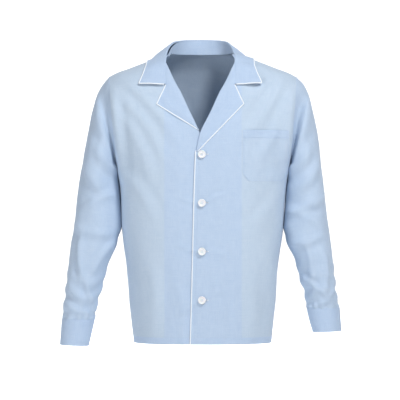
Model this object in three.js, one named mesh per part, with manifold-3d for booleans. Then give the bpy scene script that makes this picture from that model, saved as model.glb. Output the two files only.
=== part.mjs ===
// A patient's jacket of light cotton: two overlapping fronts with a notched collar and piped edges,
// a back, sleeves with cuffs, a chest pocket and four sewn buttons, in the shape it has when worn.
// Millimetres, +Z up, -Y to the wearer's front, +X to the wearer's left. The origin is the middle
// of the neck, level with the neck ends of the shoulder seams.

import * as THREE from 'three';
import { mergeVertices } from 'three/addons/utils/BufferGeometryUtils.js';
import Module from 'manifold-3d';

const wasm = await Module();
wasm.setup();

// ---- Cloth and clearances ----
const clothWall = 1.8;          // wall of every cloth solid
const layerPitch = 3.2;         // from one layer's face to the same face of the next layer
const seamGap = 0.8;            // between the edges of two pieces that are sewn together
const boxiness = 2.6;           // exponent of the body's horizontal sections

// ---- Body of the jacket ----
const jacketLength = 726;       // neck end of the shoulder seam down to the hem
const neckRise = 8;             // height of the seam between the back and the collar
const shoulderHalfWidth = 238;  // to the top of the armhole seam
const shoulderDrop = 50;
const underarmHalfWidth = shoulderHalfWidth - 21;
const underarmDrop = 290;
const waistToHem = 186;
const waistDrop = jacketLength - waistToHem;
const waistHalfWidth = shoulderHalfWidth - 46;
const hemHalfWidth = shoulderHalfWidth - 62;
const shoulderSeamForward = 22; // the shoulder seam lies this far in front of the ridge

// A drop between the underarm, at 0, and the waist, at 1.
const torsoDrop = (share) => underarmDrop + share * (waistDrop - underarmDrop);

// height, half width, depth to the front, depth to the back of each horizontal section
const bodyRows = [
  [neckRise, 76, 60, 62],
  [0, 104, 68, 72],
  [-5, 120, 71, 76],
  [-28, 180, 82, 92],
  [-shoulderDrop, shoulderHalfWidth - 4, 92, 102],
  [-78, shoulderHalfWidth + 22, 106, 112],
  [-122, shoulderHalfWidth + 41, 119, 123],
  [-170, shoulderHalfWidth + 30, 126, 127],
  [-237, underarmHalfWidth + 21, 133, 127],
  [-underarmDrop, underarmHalfWidth, 137, 124],
  [-torsoDrop(0.62), (underarmHalfWidth + waistHalfWidth) / 2, 141, 120],
  [-waistDrop, waistHalfWidth, 143, 125],
  [-jacketLength, hemHalfWidth, 150, 142],
];

// ---- Front opening, lapels and collar ----
const collarCentre = -7;        // the collar sits a little to the wearer's right
const breakDrop = 247;          // where the left lapel's roll line meets the front edge
const crossDrop = 196;          // where the two roll lines cross
const lapelCorner = [108, -124];
const notch = [86, -74];        // where collar and lapel part, across and up from the collar's centre
const collarTip = [152, -74];
// height and distance of the roll line from the collar's centre
const rollLine = [[4, 80], [-6, 86], [-13, 87.5], [-40, 78], [-68, 65], [-95, 50], [-145, 27],
  [-168, 15], [-crossDrop, 2], [-breakDrop, -11]];
// height and place of each front's edge below its roll line
const leftEdge = [[-breakDrop, -18], [-torsoDrop(0.32), -22], [-torsoDrop(0.84), -25], [-jacketLength, -31]];
const rightEdge = [[-crossDrop, -9], [-breakDrop, 6], [-underarmDrop, 14], [-jacketLength, 10]];
const facingReach = 97;         // the facings end this far from the middle
const collarWall = 2.4;
const pipingRadius = 1.6;

// ---- Chest pocket ----
const pocketCentre = 156;
const pocketWidth = 112;
const pocketHeight = 128;
const pocketTopDrop = 190;
const pocketMouth = 6;          // how far the mouth stands off the front
const pocketCornerCut = 14;

// ---- Buttons ----
const buttonCentreX = -3;
const firstButtonDrop = 250.5;
const lastButtonRise = 110.7;   // last button above the hem
const buttonCount = 4;
const buttonSpacing = (jacketLength - firstButtonDrop - lastButtonRise) / (buttonCount - 1);
const buttonDiameter = 20;
const buttonThickness = 3.6;
const buttonLift = 2.4;         // cloth to the back of the button
const buttonHoleSpread = 2.2;   // sewing holes from the button's centre
const sewingHoleRadius = 0.8;
const shankRadius = 1.3;
const buttonholeLength = 22;
const buttonholeWidth = 3.4;

// ---- Sleeves ----
const cuffSeamDrop = 664;
const cuffHeight = 66;
const cuffSeamHalfDepth = 43;
const cuffEdgeHalfDepth = 38;
const sleeveSideGap = 3;        // between the sleeve and the side of the body
const sleeveRaised = { left: 28, right: 0 };     // the left arm is held with its cuff this much higher
const sleeveOut = { left: -6, right: 6 };        // cuff further out or in than the mean
// A drop on the inner side of the arm between the underarm, at 0, and the cuff seam, at 1.
const innerArmDrop = (share) => underarmDrop + share * (cuffSeamDrop - underarmDrop);
// outer x, outer drop, inner x (null follows the side of the body), inner drop, half depth, centre y
const sleeveRows = [
  [shoulderHalfWidth + 1, shoulderDrop + 2, null, underarmDrop, 82, 0],
  [shoulderHalfWidth + 24, 82, null, underarmDrop + 2, 84, 0],
  [shoulderHalfWidth + 39, 122, null, underarmDrop + 4, 84, 0],
  [shoulderHalfWidth + 52, 178, null, underarmDrop + 6, 83, 0],
  [shoulderHalfWidth + 67, 262, null, underarmDrop + 9, 80, -1],
  [shoulderHalfWidth + 76, 326, null, innerArmDrop(0.155), 75, -3],
  [shoulderHalfWidth + 84, 396, null, innerArmDrop(0.332), 69, -6],
  [shoulderHalfWidth + 93, 465, shoulderHalfWidth - 26, innerArmDrop(0.481), 64, -10],
  [shoulderHalfWidth + 99, 530, shoulderHalfWidth - 2, innerArmDrop(0.636), 61, -15],
  [shoulderHalfWidth + 104, 585, shoulderHalfWidth + 11, innerArmDrop(0.781), 57, -20],
  [shoulderHalfWidth + 108, 630, shoulderHalfWidth + 24, innerArmDrop(0.904), 51, -25],
  [shoulderHalfWidth + 112, cuffSeamDrop, shoulderHalfWidth + 31, cuffSeamDrop + 2, cuffSeamHalfDepth, -28],
];
const bendRow = 4;              // where the sleeve bends as it is lifted, just under the armhole
const elbowRow = 6;
const cuffRows = [
  [shoulderHalfWidth + 113, cuffSeamDrop + 2, shoulderHalfWidth + 32, cuffSeamDrop + 4,
    cuffSeamHalfDepth - 1, -28],
  [shoulderHalfWidth + 118, cuffSeamDrop + 2 + cuffHeight, shoulderHalfWidth + 47,
    cuffSeamDrop + 5 + cuffHeight, cuffEdgeHalfDepth, -33],
];

// ---- Curves through tables ----

// A smooth curve through [place, value] pairs that never overshoots them.
function curveThrough(pairs) {
  const sorted = [...pairs].sort((p, q) => p[0] - q[0]);
  const slopes = sorted.map((p, i) => {
    const before = sorted[i - 1];
    const after = sorted[i + 1];
    if (!before || !after) return null;
    const s0 = (p[1] - before[1]) / (p[0] - before[0]);
    const s1 = (after[1] - p[1]) / (after[0] - p[0]);
    return s0 * s1 <= 0 ? 0 : (2 * s0 * s1) / (s0 + s1);
  });
  return (at) => {
    const last = sorted.length - 1;
    if (at <= sorted[0][0]) return sorted[0][1];
    if (at >= sorted[last][0]) return sorted[last][1];
    const i = sorted.findIndex((p) => p[0] > at) - 1;
    const [x0, y0] = sorted[i];
    const [x1, y1] = sorted[i + 1];
    const span = x1 - x0;
    const chord = (y1 - y0) / span;
    const m0 = slopes[i] ?? chord;
    const m1 = slopes[i + 1] ?? chord;
    const t = (at - x0) / span;
    return y0 + t * span * m0 + t * t * span * (3 * chord - 2 * m0 - m1)
      + t * t * t * span * (m0 + m1 - 2 * chord);
  };
}

const halfWidthAt = curveThrough(bodyRows.map((row) => [row[0], row[1]]));
const frontDepthAt = curveThrough(bodyRows.map((row) => [row[0], row[2]]));
const backDepthAt = curveThrough(bodyRows.map((row) => [row[0], row[3]]));
const rollAt = curveThrough(rollLine);
const leftEdgeAt = curveThrough(leftEdge);
const rightEdgeAt = curveThrough(rightEdge);
const smooth = (t) => THREE.MathUtils.smoothstep(t, 0, 1);
const mix = THREE.MathUtils.lerp;

// ---- The body's surface ----
// angle 0 is the wearer's left side, -90 degrees the front, 90 the back, 180 the right side.

function bodyPoint(angle, height, offset = 0) {
  const wide = halfWidthAt(height);
  const deep = Math.sin(angle) < 0 ? frontDepthAt(height) : backDepthAt(height);
  const power = 2 / boxiness;
  const x = wide * Math.sign(Math.cos(angle)) * Math.abs(Math.cos(angle)) ** power;
  const y = deep * Math.sign(Math.sin(angle)) * Math.abs(Math.sin(angle)) ** power;
  return new THREE.Vector3(x, y, height).addScaledVector(bodyNormal(x, y, height), offset);
}

function bodyNormal(x, y, height) {
  const step = 0.5;
  const depthAt = y < 0 ? frontDepthAt : backDepthAt;
  const wide = halfWidthAt(height);
  const deep = depthAt(height);
  const widening = (halfWidthAt(height + step) - halfWidthAt(height - step)) / (2 * step);
  const deepening = (depthAt(height + step) - depthAt(height - step)) / (2 * step);
  const u = Math.abs(x) / wide;
  const v = Math.abs(y) / deep;
  return new THREE.Vector3(
    (Math.sign(x) * u ** (boxiness - 1)) / wide,
    (Math.sign(y) * v ** (boxiness - 1)) / deep,
    -(u ** boxiness) * widening / wide - v ** boxiness * deepening / deep,
  ).normalize();
}

// The section's angle, from the nearer side, where it is x from the middle or y in depth.
const angleAtX = (x, height) =>
  Math.acos(Math.min(1, Math.abs(x) / halfWidthAt(height)) ** (boxiness / 2));
const angleAtDepth = (y, deep) => Math.asin(Math.min(1, y / deep) ** (boxiness / 2));

// The angle of a point of the front at a signed x.
function frontAngle(x, height) {
  const fromSide = angleAtX(x, height);
  return x >= 0 ? -fromSide : -(Math.PI - fromSide);
}

const frontPoint = (x, height, offset) => bodyPoint(frontAngle(x, height), height, offset);

// x of the armhole seam, which runs straight from the shoulder to the underarm.
const armholeAt = (height) => mix(shoulderHalfWidth, underarmHalfWidth,
  (-height - shoulderDrop) / (underarmDrop - shoulderDrop));

// How far round from the side a front or back panel's outer edge is, in radians.
function panelSide(height, deep, pastRidge) {
  if (height < -underarmDrop) return angleAtDepth(seamGap / 2, deep);
  if (height > -shoulderDrop - 1) return pastRidge;
  return Math.max(angleAtX(armholeAt(height), height), angleAtDepth(seamGap / 2, deep));
}

// ---- Solids from grids ----

// A closed solid from two grids of points, outer and inner, with walls round their edges.
// point(row, column, isOuter) gives each point; closedRound joins the last column to the first.
function gridSolid(rows, columns, point, closedRound = false) {
  const across = closedRound ? columns : columns + 1;
  const positions = [];
  for (const isOuter of [true, false]) {
    for (let r = 0; r <= rows; r += 1) {
      for (let c = 0; c < across; c += 1) positions.push(...point(r, c, isOuter).toArray());
    }
  }
  const inside = (rows + 1) * across;
  const at = (r, c) => r * across + (c % across);
  const index = [];
  const quad = (a, b, c, d) => index.push(a, b, c, a, c, d);
  for (let r = 0; r < rows; r += 1) {
    for (let c = 0; c < columns; c += 1) {
      quad(at(r, c), at(r, c + 1), at(r + 1, c + 1), at(r + 1, c));
      quad(inside + at(r, c), inside + at(r + 1, c), inside + at(r + 1, c + 1), inside + at(r, c + 1));
    }
  }
  for (let c = 0; c < columns; c += 1) {
    quad(at(0, c + 1), at(0, c), inside + at(0, c), inside + at(0, c + 1));
    quad(at(rows, c), at(rows, c + 1), inside + at(rows, c + 1), inside + at(rows, c));
  }
  if (!closedRound) {
    for (let r = 0; r < rows; r += 1) {
      quad(at(r, 0), at(r + 1, 0), inside + at(r + 1, 0), inside + at(r, 0));
      quad(at(r + 1, columns), at(r, columns), inside + at(r, columns), inside + at(r + 1, columns));
    }
  }
  const geometry = new THREE.BufferGeometry();
  geometry.setAttribute('position', new THREE.Float32BufferAttribute(positions, 3));
  geometry.setIndex(index);
  return outward(geometry);
}

// Turns a closed geometry's faces outward.
function outward(geometry) {
  const place = geometry.getAttribute('position');
  const index = geometry.getIndex().array;
  const [a, b, c] = [new THREE.Vector3(), new THREE.Vector3(), new THREE.Vector3()];
  let volume = 0;
  for (let i = 0; i < index.length; i += 3) {
    a.fromBufferAttribute(place, index[i]);
    b.fromBufferAttribute(place, index[i + 1]);
    c.fromBufferAttribute(place, index[i + 2]);
    volume += a.dot(b.cross(c));
  }
  if (volume < 0) {
    for (let i = 0; i < index.length; i += 3) [index[i + 1], index[i + 2]] = [index[i + 2], index[i + 1]];
  }
  return geometry;
}

function toManifold(geometry) {
  const bare = geometry.clone();
  for (const name of ['normal', 'uv']) bare.deleteAttribute(name);
  const merged = mergeVertices(bare, 1e-4);
  return new wasm.Manifold(new wasm.Mesh({
    numProp: 3,
    vertProperties: new Float32Array(merged.getAttribute('position').array),
    triVerts: new Uint32Array(merged.getIndex().array),
  }));
}

function fromManifold(solid) {
  const mesh = solid.getMesh();
  const geometry = new THREE.BufferGeometry();
  geometry.setAttribute('position', new THREE.BufferAttribute(mesh.vertProperties, 3));
  geometry.setIndex(new THREE.BufferAttribute(mesh.triVerts, 1));
  return geometry;
}

const cut = (geometry, tools) => fromManifold(
  tools.reduce((solid, tool) => solid.subtract(toManifold(tool)), toManifold(geometry)));

// A round strip, such as piping, along a curve through points.
function tubeAlong(points, radius, steps, sides) {
  const section = new THREE.Shape();
  section.absarc(0, 0, radius, 0, Math.PI * 2);
  return new THREE.ExtrudeGeometry(section, {
    extrudePath: new THREE.CatmullRomCurve3(points),
    steps,
    curveSegments: sides,
    bevelEnabled: false,
  });
}

// ---- Pieces ----

const group = new THREE.Group();
const finishes = {
  cloth: { color: 0xbcd0e8, roughness: 0.88, metalness: 0 },
  doubleCloth: { color: 0xb2c8eb, roughness: 0.88, metalness: 0 },
  piping: { color: 0xf4f6f8, roughness: 0.7, metalness: 0 },
  button: { color: 0xf3f5f7, roughness: 0.3, metalness: 0 },
  thread: { color: 0xe9edf2, roughness: 0.8, metalness: 0 },
};

function add(name, geometry, finish) {
  const mesh = new THREE.Mesh(geometry, new THREE.MeshStandardMaterial(finishes[finish]));
  mesh.name = name;
  group.add(mesh);
  return mesh;
}

const buttonHeights = Array.from({ length: buttonCount }, (_, i) => -firstButtonDrop - i * buttonSpacing);

// Offset of the right front, which passes under the left one near the middle.
const underLap = (x) => -2 * layerPitch * smooth((x + 62) / 34);

function frontEdge(side, height) {
  const lowest = side === 'left' ? breakDrop : crossDrop;
  if (height > -lowest) return collarCentre + (side === 'left' ? 1 : -1) * rollAt(height);
  return side === 'left' ? leftEdgeAt(height) : rightEdgeAt(height);
}

const frontHeights = [4, -4, -13, -24, -36, -shoulderDrop, -60, -74, -96, -125, -160, -crossDrop,
  -breakDrop, -underarmDrop, -underarmDrop - 8, -torsoDrop(0.32), -torsoDrop(0.66), -waistDrop,
  -(waistDrop + jacketLength) / 2, -jacketLength];

// The angles of a front's columns at one height: first across the facing, then on to the side.
const facingColumns = 5;
const sideColumns = 6;
function frontColumnAngle(side, height, column) {
  const turn = side === 'left' ? (angle) => angle : (angle) => -Math.PI - angle;
  const deep = frontDepthAt(height);
  const edge = frontEdge(side, height);
  const outerAngle = panelSide(height, deep, angleAtDepth(shoulderSeamForward, deep));
  const outerX = bodyPoint(outerAngle, height).x;
  const reach = Math.min(Math.max(facingReach, Math.abs(edge) + 12), mix(Math.abs(edge), outerX, 0.5));
  const facingEnd = side === 'left' ? reach : -reach;
  if (column <= facingColumns) return frontAngle(mix(edge, facingEnd, column / facingColumns), height);
  const beyond = (column - facingColumns) / sideColumns;
  return mix(frontAngle(facingEnd, height), turn(-outerAngle), beyond);
}

function frontPanel(side) {
  const columns = facingColumns + sideColumns;
  return gridSolid(frontHeights.length - 1, columns, (r, c, isOuter) => {
    const height = frontHeights[r];
    const angle = frontColumnAngle(side, height, c);
    const lap = side === 'right' ? underLap(bodyPoint(angle, height).x) : 0;
    return bodyPoint(angle, height, lap - (isOuter ? 0 : clothWall));
  });
}

function facing(side) {
  const heights = frontHeights.filter((height) => height < -12);
  return gridSolid(heights.length - 1, facingColumns, (r, c, isOuter) => {
    const height = heights[r];
    const angle = frontColumnAngle(side, height, c);
    const lap = side === 'right' ? underLap(bodyPoint(angle, height).x) : 0;
    return bodyPoint(angle, height, lap - layerPitch - (isOuter ? 0 : clothWall));
  });
}

// A bar through both layers of the left front at each button.
const buttonholeTools = buttonHeights.map((height) => {
  const bar = new THREE.BoxGeometry(buttonholeLength, 40, buttonholeWidth);
  bar.translate(buttonCentreX + buttonholeLength / 2 - buttonholeWidth, -frontDepthAt(height), height);
  return bar;
});

function backPanel() {
  const heights = [neckRise, 0, -8, -18, -30, -shoulderDrop + 1, -60, -78, -104, -140, -185, -237,
    -underarmDrop, -underarmDrop - 8, -torsoDrop(0.32), -torsoDrop(0.66), -waistDrop,
    -(waistDrop + jacketLength) / 2, -jacketLength];
  const columns = 20;
  return gridSolid(heights.length - 1, columns, (r, c, isOuter) => {
    const height = heights[r];
    const deepFront = frontDepthAt(height);
    const pastRidge = -angleAtDepth(Math.min(shoulderSeamForward, 0.5 * deepFront) - seamGap, deepFront);
    const start = panelSide(height, backDepthAt(height), pastRidge);
    return bodyPoint(mix(start, Math.PI - start, c / columns), height, isOuter ? 0 : -clothWall);
  });
}

// The outer edge of a lapel: up its lower edge to the corner, back to the notch and up the seam.
function lapelReach(side, height) {
  const start = side === 'left' ? [-11, -breakDrop] : [-3, -crossDrop + 4];
  if (height <= lapelCorner[1]) {
    return mix(start[0], lapelCorner[0], (height - start[1]) / (lapelCorner[1] - start[1]));
  }
  if (height <= notch[1]) {
    return mix(lapelCorner[0], notch[0], (height - lapelCorner[1]) / (notch[1] - lapelCorner[1]));
  }
  return notch[0] + (height - notch[1]) * 0.07;
}

function lapelPoint(side, height, along, offset) {
  const sign = side === 'left' ? 1 : -1;
  const reach = mix(rollAt(height) + seamGap, lapelReach(side, height), along);
  return frontPoint(collarCentre + sign * reach, height, offset);
}

const lapelHeights = {
  left: [notch[1] - seamGap, -98, lapelCorner[1], -150, -178, -206, -232],
  right: [notch[1] - seamGap, -98, lapelCorner[1], -140, -158, -176],
};
// Above the notch the lapel is sewn to the collar and doesn't turn with the rest.
const lapelTopHeights = [-20, -36, -54, notch[1]];

function lapel(side, heights) {
  const columns = 4;
  return gridSolid(heights.length - 1, columns, (r, c, isOuter) => lapelPoint(
    side, heights[r], c / columns, layerPitch - clothWall + (isOuter ? clothWall : 0)));
}

function lapelPiping(side) {
  const sign = side === 'left' ? 1 : -1;
  const lift = layerPitch - clothWall / 2;
  const out = pipingRadius + seamGap / 2;
  const low = lapelHeights[side].at(-1);
  const corner = lapelCorner[1];
  const points = [low, mix(low, corner, 0.33), mix(low, corner, 0.66), corner - 8].map((height) =>
    frontPoint(collarCentre + sign * (lapelReach(side, height) + out), height - out, lift));
  points.push(frontPoint(collarCentre + sign * (lapelCorner[0] + out * 1.8), corner, lift));
  for (const height of [corner + 9, mix(corner, notch[1], 0.5), notch[1] - 5]) {
    points.push(frontPoint(collarCentre + sign * (lapelReach(side, height) + out), height + out, lift));
  }
  return tubeAlong(points, pipingRadius, 26, 4);
}

function frontEdgePiping() {
  const low = -jacketLength + 1;
  const high = -breakDrop - 6;
  const points = [0, 0.16, 0.35, 0.57, 0.8, 1].map((share) => mix(high, low, share)).map((height) =>
    frontPoint(leftEdgeAt(height) - pipingRadius - seamGap, height, -clothWall / 2));
  return tubeAlong(points, pipingRadius, 20, 4);
}

// ---- Collar ----
// Each row runs from the roll to the outer edge; null depth puts the point on the front.
const collarRows = [
  { roll: [notch[0], null, notch[1]], edge: [collarTip[0], null, collarTip[1]] },
  { roll: [88, null, -50], edge: [144, null, -52] },
  { roll: [90, null, -26], edge: [136, null, -30] },
  { roll: [88, -42, 2], edge: [129, -14, -11] },
  { roll: [82, -6, 24], edge: [122, 20, -8] },
  { roll: [67, 38, 40], edge: [104, 68, -14] },
  { roll: [38, 70, 45], edge: [58, 98, -22] },
  { roll: [0, 80, 46], edge: [0, 106, -26] },
];
const collarLift = 3.2;         // from the fronts and back to the underside of the collar

// Keeps a point at least so far outside the body.
function clearOfBody(point, clearance) {
  for (let i = 0; i < 4; i += 1) {
    const wide = halfWidthAt(point.z);
    const deep = (point.y < 0 ? frontDepthAt : backDepthAt)(point.z);
    const reach = ((Math.abs(point.x) / wide) ** boxiness + (Math.abs(point.y) / deep) ** boxiness)
      ** (1 / boxiness);
    if (point.z > neckRise + clearance) return point;
    const surface = new THREE.Vector3(point.x / reach, point.y / reach, point.z);
    const normal = bodyNormal(surface.x, surface.y, point.z);
    const gap = point.clone().sub(surface).dot(normal);
    if (gap < clearance) point.addScaledVector(normal, clearance - gap);
  }
  return point;
}

function collarCurve(which, side) {
  const half = collarRows.map((row) => {
    const [x, y, z] = row[which];
    const across = collarCentre + side * x;
    return y === null ? frontPoint(across, z, collarLift) : new THREE.Vector3(across, y, z);
  });
  return new THREE.CatmullRomCurve3(half, false, 'centripetal');
}

const collarEdgePoint = (which, t) => {
  const side = t < 0.5 ? 1 : -1;
  const curve = collarCurve(which, side);
  const along = t < 0.5 ? 2 * t : 2 - 2 * t;
  return curve.getPoint(along);
};

function collarPoint(t, along) {
  const roll = collarEdgePoint('roll', t);
  const edge = collarEdgePoint('edge', t);
  const bulge = 5 * Math.sin(Math.PI * along);
  const point = roll.lerp(edge, along);
  const away = new THREE.Vector3(point.x - collarCentre, point.y, 40).normalize();
  return clearOfBody(point.addScaledVector(away, bulge), collarLift);
}

function collarFall() {
  const rows = 32;
  const columns = 4;
  return gridSolid(rows, columns, (r, c, isOuter) => {
    const t = r / rows;
    const along = c / columns;
    const here = collarPoint(t, along);
    if (!isOuter) return here;
    const dt = 0.01;
    const alongCurve = collarPoint(Math.min(1, t + dt), along).sub(collarPoint(Math.max(0, t - dt), along));
    const across = collarPoint(t, Math.min(1, along + dt)).sub(collarPoint(t, Math.max(0, along - dt)));
    const normal = across.cross(alongCurve).normalize();
    return here.addScaledVector(normal, collarWall);
  });
}

// The stand rises inside the fall from the neck seam to the roll.
const standRows = [
  { foot: [78, -20, neckRise + 1.5], top: [79, -24, 17] },
  { foot: [76, 4, neckRise + 1.5], top: [77, 2, 22] },
  { foot: [63, 36, neckRise + 1.5], top: [62, 36, 36] },
  { foot: [36, 56, neckRise + 1.5], top: [35, 64, 41] },
  { foot: [0, 62, neckRise + 1.5], top: [0, 74, 42] },
];

function standPoint(t, up) {
  const side = t < 0.5 ? 1 : -1;
  const along = t < 0.5 ? 2 * t : 2 - 2 * t;
  const at = (which) => new THREE.CatmullRomCurve3(standRows.map((row) => {
    const [x, y, z] = row[which];
    return new THREE.Vector3(collarCentre * 0.5 + side * x, y, z);
  })).getPoint(along);
  return at('foot').lerp(at('top'), up);
}

function collarStand() {
  const rows = 20;
  return gridSolid(rows, 2, (r, c, isOuter) => {
    const point = standPoint(r / rows, c / 2);
    const inward = new THREE.Vector3(-point.x, -point.y, 0).normalize();
    return isOuter ? point : point.addScaledVector(inward, clothWall);
  });
}

function collarPiping() {
  const out = pipingRadius + seamGap;
  const points = [];
  const edgeAt = (t, along) => {
    const inner = collarPoint(t, along);
    const away = collarPoint(t, 1).sub(collarPoint(t, 0.85)).normalize();
    return { inner, away };
  };
  for (let i = 0; i <= 30; i += 1) {
    const { inner, away } = edgeAt(i / 30, 1);
    const up = new THREE.Vector3(inner.x - collarCentre, inner.y, 60).normalize();
    points.push(inner.addScaledVector(away, out).addScaledVector(up, collarWall / 2));
  }
  const lower = (t, alongs) => alongs.map((along) => {
    const point = collarPoint(t, along);
    return point.add(new THREE.Vector3(0, -collarWall / 2, -out));
  });
  points.unshift(...lower(0, [0.2, 0.6, 0.96]));
  points.push(...lower(1, [0.96, 0.6, 0.2]));
  return tubeAlong(points, pipingRadius, 70, 4);
}

// ---- Pocket ----
// A patch sewn down at its sides and foot, with its mouth standing a little off the front.
function chestPocket() {
  const rows = 8;
  const columns = 8;
  return gridSolid(rows, columns, (r, c, isOuter) => {
    const down = r / rows;
    const across = (2 * c) / columns - 1;
    const foot = pocketCornerCut * Math.max(0, (down - 0.86) / 0.14);
    const x = pocketCentre + across * (pocketWidth / 2 - foot);
    const height = -pocketTopDrop - down * pocketHeight;
    const standing = pocketMouth * (1 - across ** 4) * (1 - down ** 2);
    return frontPoint(x, height, layerPitch - clothWall + standing + (isOuter ? clothWall : 0));
  });
}

// ---- Sleeves ----

// One ring of a sleeve or cuff, as its outer and inner ends in the front view and its depth.
function sleeveRing(row, side) {
  const [outerX, outerDrop, innerX, innerDrop, halfDepth, centreY] = row;
  const elbowDrop = sleeveRows[elbowRow][1];
  const down = Math.max(0, (outerDrop - elbowDrop) / (cuffSeamDrop - elbowDrop));
  const raised = sleeveRaised[side] * down;
  const shifted = sleeveOut[side] * Math.min(1, Math.max(0, outerDrop - shoulderDrop) / cuffSeamDrop);
  const innerEnd = innerX === null
    ? Math.max(halfWidthAt(-innerDrop), armholeAt(-innerDrop)) + sleeveSideGap
    : innerX + shifted;
  const outer = new THREE.Vector3(outerX + seamGap + shifted, 0, raised - outerDrop);
  const inner = new THREE.Vector3(innerEnd, 0, raised - innerDrop);
  const centre = outer.clone().add(inner).multiplyScalar(0.5).setY(centreY);
  const across = outer.clone().sub(inner);
  return { centre, halfDepth, halfSpan: across.length() / 2, across: across.normalize() };
}

// A tube of cloth through rings; shift moves its first ring along the tube to leave a gap.
function sleeveTube(rows, side, shift = 0) {
  const sign = side === 'left' ? 1 : -1;
  const segments = 20;
  const rings = rows.map((row) => sleeveRing(row, side));
  const down = new THREE.Vector3(0, 0, -shift);
  return gridSolid(rings.length - 1, segments, (r, c, isOuter) => {
    const ring = rings[r];
    const angle = (c / segments) * Math.PI * 2;
    const wall = isOuter ? 0 : clothWall;
    const point = ring.centre.clone()
      .addScaledVector(ring.across, (ring.halfSpan - wall) * Math.cos(angle))
      .add(new THREE.Vector3(0, (ring.halfDepth - wall) * Math.sin(angle), 0));
    if (r === 0) point.add(down);
    return point.setX(point.x * sign);
  }, true);
}

function addSleeve(side) {
  const lengths = [
    ['sleeve_head', sleeveRows.slice(0, bendRow + 1), 0],
    ['sleeve_upper', sleeveRows.slice(bendRow, elbowRow + 1), seamGap],
    ['sleeve_lower', sleeveRows.slice(elbowRow), seamGap],
  ];
  for (const [name, rows, shift] of lengths) {
    add(`${side}_${name}`, sleeveTube(rows, side, shift), 'cloth');
  }
  add(`${side}_cuff`, sleeveTube(cuffRows, side), 'doubleCloth');
}

// ---- Buttons ----

function buttonSolid() {
  const radius = buttonDiameter / 2;
  const rim = 1.6;
  const dish = 1.1;
  const profile = [[0, 0], [radius - 1, 0], [radius, 1], [radius, buttonThickness - 0.8],
    [radius - 0.8, buttonThickness], [radius - rim, buttonThickness],
    [radius - rim - 1, buttonThickness - dish], [0, buttonThickness - dish]].map(([x, y]) => new THREE.Vector2(x, y));
  const holes = [45, 135, 225, 315].map((degrees) => {
    const hole = new THREE.CylinderGeometry(sewingHoleRadius, sewingHoleRadius, 12, 6);
    const angle = THREE.MathUtils.degToRad(degrees);
    hole.translate(buttonHoleSpread * Math.cos(angle), 0, buttonHoleSpread * Math.sin(angle));
    return hole;
  });
  const solid = cut(new THREE.LatheGeometry(profile, 18), holes);
  return solid.rotateX(Math.PI);
}

function addButton(number, height) {
  const face = -frontPoint(buttonCentreX, height, 0).y;
  const button = add(`button_${number}`, buttonSolid(), 'button');
  button.position.set(buttonCentreX, -face - buttonLift, height);
  const start = frontPoint(buttonCentreX, height, underLap(buttonCentreX)).y - 0.4;
  const end = -face - buttonLift + 0.4;
  const shank = new THREE.CylinderGeometry(shankRadius, shankRadius, start - end, 8);
  add(`button_${number}_thread`, shank, 'thread').position.set(buttonCentreX, (start + end) / 2, height);
}

// ---- Assembly ----

add('back_panel', backPanel(), 'cloth');
add('left_front', cut(frontPanel('left'), buttonholeTools), 'cloth');
add('right_front', frontPanel('right'), 'cloth');
add('left_facing', cut(facing('left'), buttonholeTools), 'doubleCloth');
add('right_facing', facing('right'), 'doubleCloth');
add('collar_stand', collarStand(), 'cloth');
add('collar_fall', collarFall(), 'doubleCloth');
add('collar_piping', collarPiping(), 'piping');
add('front_edge_piping', frontEdgePiping(), 'piping');
add('chest_pocket', chestPocket(), 'cloth');
for (const side of ['left', 'right']) {
  add(`${side}_lapel`, lapel(side, lapelHeights[side]), 'doubleCloth');
  add(`${side}_lapel_top`, lapel(side, lapelTopHeights), 'doubleCloth');
  add(`${side}_lapel_piping`, lapelPiping(side), 'piping');
  addSleeve(side);
}
buttonHeights.forEach((height, i) => addButton(i + 1, height));

export default group;
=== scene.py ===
# %% [markdown]
# # A patient's jacket
# This lesson makes a light blue cotton jacket, as worn on a ward, around a finished model of it
# that only has the right sizes. Cloth is what Blender is good at: each panel is a grid laid on one
# smooth body shape, with folds, seams and hems worked into it, and the finish comes from nodes.

# %% Load the frame
import bpy
import bmesh
import math
import numpy as np
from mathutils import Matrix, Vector


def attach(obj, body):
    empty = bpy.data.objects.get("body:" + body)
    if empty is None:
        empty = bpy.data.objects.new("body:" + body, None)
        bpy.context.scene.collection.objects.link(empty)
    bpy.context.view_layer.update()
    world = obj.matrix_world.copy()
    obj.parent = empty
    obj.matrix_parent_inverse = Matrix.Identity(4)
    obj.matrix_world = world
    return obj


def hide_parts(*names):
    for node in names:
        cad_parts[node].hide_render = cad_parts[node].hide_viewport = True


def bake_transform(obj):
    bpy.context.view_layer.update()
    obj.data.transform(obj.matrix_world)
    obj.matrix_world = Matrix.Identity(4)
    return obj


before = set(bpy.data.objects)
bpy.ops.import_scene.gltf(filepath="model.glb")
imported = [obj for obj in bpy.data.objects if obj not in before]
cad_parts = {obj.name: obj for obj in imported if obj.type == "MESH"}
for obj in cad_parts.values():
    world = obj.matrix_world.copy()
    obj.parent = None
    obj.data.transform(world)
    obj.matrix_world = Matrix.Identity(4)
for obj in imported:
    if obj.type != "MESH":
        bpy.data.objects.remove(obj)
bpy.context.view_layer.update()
MM = 0.001
SIDES = ((1, "left"), (-1, "right"))

# %% [markdown]
# ## Camera, floor and light
# A catalogue picture of clothing is taken from far off with a long lens, level with the chest, in
# front of white. A far camera keeps the front from looking larger than the sides.

# %% Camera, floor and light
VIEW_WIDTH = 1.02
CAMERA_DISTANCE = 7.0
FLOOR_HEIGHT = -1.15

lens = bpy.data.cameras.new("camera")
lens.lens = lens.sensor_width * CAMERA_DISTANCE / VIEW_WIDTH
camera = bpy.data.objects.new("camera", lens)
camera.location = (-0.0076, -CAMERA_DISTANCE, -0.365)
camera.rotation_euler = (math.radians(90), 0, 0)
bpy.context.collection.objects.link(camera)
bpy.context.scene.camera = camera
bpy.context.scene.view_settings.view_transform = "Standard"

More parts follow.
